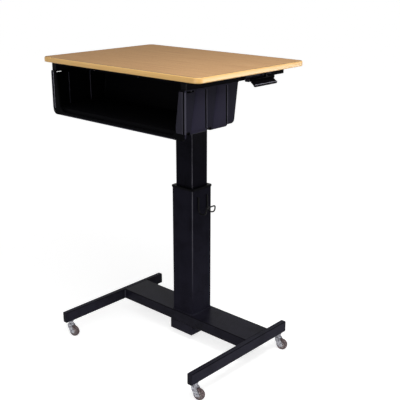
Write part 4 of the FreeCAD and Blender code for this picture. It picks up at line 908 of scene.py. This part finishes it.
def paddleHub():
    half, radius = paddle["width"] / 2 + paddle["overhang"], paddle["hub"] + paddle["hubProud"]
    bore, ease = paddle["bore"], paddle["hubEase"]
    return turned([(bore, -half), (radius - ease, -half), (radius, ease - half), (radius, half - ease),
                   (radius - ease, half), (bore, half)], pivot, (0, 1, 0), paddle["hubSteps"])


def paddleCrank():
    wide, rise, eye = paddle["crankHalf"], paddle["crank"], paddle["eye"]
    outline = [(-wide, 0), (wide, 0)] + arc(0, rise, eye, *paddle["eyeArc"])
    hole = circle(0, rise, paddle["eyeHole"], paddle["holeSteps"], -1)
    sheet = plate([outline, hole], paddle["crankThick"], paddle["crankEdge"])
    return sheet, Matrix.Translation((pivot.x, linkRow, pivot.z)) @ upright


def paddleLip():  # bead along the lip, in a painted highlight
    along, above = paddle["beadAt"]
    middle, half = down * (lipFrom + along) + up * above, paddle["width"] / 2
    ends = [(inset - half, size) for inset, size in paddle["beadEnds"]]
    return loft([[(pivot.x + (middle.x + px) * mm, pivot.y + y * mm, pivot.z + (middle.y + pz) * mm)
                  for px, pz in circle(0, 0, paddle["bead"] * size, paddle["beadSteps"])]
                 for y, size in ends + [(-y, size) for y, size in reversed(ends)]])


addPiece("finger_paddle", joinUp(paddleMesh(), paddleHub(), paddleCrank()), capPlastic, "release_paddle",
         ["paddle"], paddle["sharp"])
addPiece("paddle_lip_bead", paddleLip(), lipHighlightPlastic, "release_paddle")
print("paddle made")

# Floor, light and camera
studio = {
    "floorSize": 80, "floorColour": "cacaca", "floorGlow": 0.78,
    "skyColour": "ffffff", "ambient": 0.22, "white": 1,  # the sky's strength as light, and as seen
    "sun": ((0.8, -1.3, 2.1), 50, 0.6),  # where it comes from, spread in degrees, strength
    "lamps": {  # place, aimed at, width and height in m, spread in degrees, watts
        "keyRight": ((0.95, -0.3, 1.95), (0.15, -0.05, 1.03), (0.6, 0.6), 180, 13.5),
        "rimRight": ((1.65, 1.45, 0.55), (0.4, -0.05, 1.06), (0.9, 0.5), 16, 0.62),
        "lowFront": ((0.6, -2.4, 0.6), (0, -0.25, 1.0), (0.5, 0.4), 70, 2.2),
        "lowRight": ((1.9, -0.4, 0.12), (0.2, 0, 0.08), (1.2, 0.2), 22, 0.55),
    },
}


def glowWhenSeen(tree, unseen, seen):  # one strength for light that reaches the desk, one for the eye and mirrors
    path = addNode(tree, "LightPath").outputs
    eye = path["Is Camera Ray"]
    for ray in ("Is Glossy Ray", "Is Transmission Ray"):
        eye = addNode(tree, "Math", {"operation": "MAXIMUM"}, {0: eye, 1: path[ray]}, "Value")
    return addNode(tree, "MapRange", {"To Min": unseen, "To Max": seen}, {"Value": eye}, "Result")


def floorMaterial():  # pale painted floor, white to the eye, that still takes the desk's shadow
    material, tree, _ = startMaterial("floor_matt_white")
    glow = glowWhenSeen(tree, 0, studio["floorGlow"])
    paint = addNode(tree, "BsdfDiffuse", {"Color": hexColour(studio["floorColour"])}, {}, "BSDF")
    shine = addNode(tree, "Emission", {}, {"Strength": glow}, "Emission")
    both = addNode(tree, "AddShader", {}, {0: paint, 1: shine}, "Shader")
    addNode(tree, "OutputMaterial", {}, {"Surface": both})
    return material


def addFloor():
    bm = bmesh.new()
    bmesh.ops.create_grid(bm, x_segments=1, y_segments=1, size=studio["floorSize"] / 2)
    mesh = bpy.data.meshes.new("floor")
    bm.to_mesh(mesh)
    bm.free()
    mesh.materials.append(floorMaterial())
    floor = bpy.data.objects.new("floor", mesh)
    bpy.context.collection.objects.link(floor)


def lightWorld():
    world = bpy.data.worlds.new("studio")
    bpy.context.scene.world = world
    world.use_nodes = True
    tree = world.node_tree
    tree.nodes.clear()
    glow = glowWhenSeen(tree, studio["ambient"], studio["white"])
    sky = addNode(tree, "Background", {"Color": hexColour(studio["skyColour"])}, {"Strength": glow}, "Background")
    addNode(tree, "OutputWorld", {}, {"Surface": sky})


def aim(thing, place, way):  # a lamp or the camera at its place, turned to look one way
    holder = bpy.data.objects.new(thing.name, thing)
    holder.location = place
    holder.rotation_euler = Vector(way).to_track_quat("-Z", "Y").to_euler()
    bpy.context.collection.objects.link(holder)
    return holder


def addLamps():
    place, spread, strength = studio["sun"]
    sun = bpy.data.lights.new("softSun", "SUN")
    sun.angle, sun.energy = radians(spread), strength
    aim(sun, place, -Vector(place))
    for name, (place, target, size, spread, watts) in studio["lamps"].items():
        lamp = bpy.data.lights.new(name, "AREA")
        lamp.shape, lamp.size, lamp.size_y, lamp.energy = "RECTANGLE", size[0], size[1], watts
        lamp.spread = radians(spread)
        aim(lamp, place, Vector(target) - Vector(place))


addFloor()
lightWorld()
addLamps()
view = {"place": (1.74039, -1.75681, 1.34887), "ahead": (-0.64273, 0.70116, -0.30868), "lens": 67.211,
        "sensor": 36}
camera = bpy.data.cameras.new("deskView")
camera.lens, camera.sensor_width = view["lens"], view["sensor"]
camera.clip_end = studio["floorSize"]
bpy.context.scene.camera = aim(camera, view["place"], view["ahead"])
bpy.context.scene.view_settings.view_transform = "Standard"
print("studio and camera set")
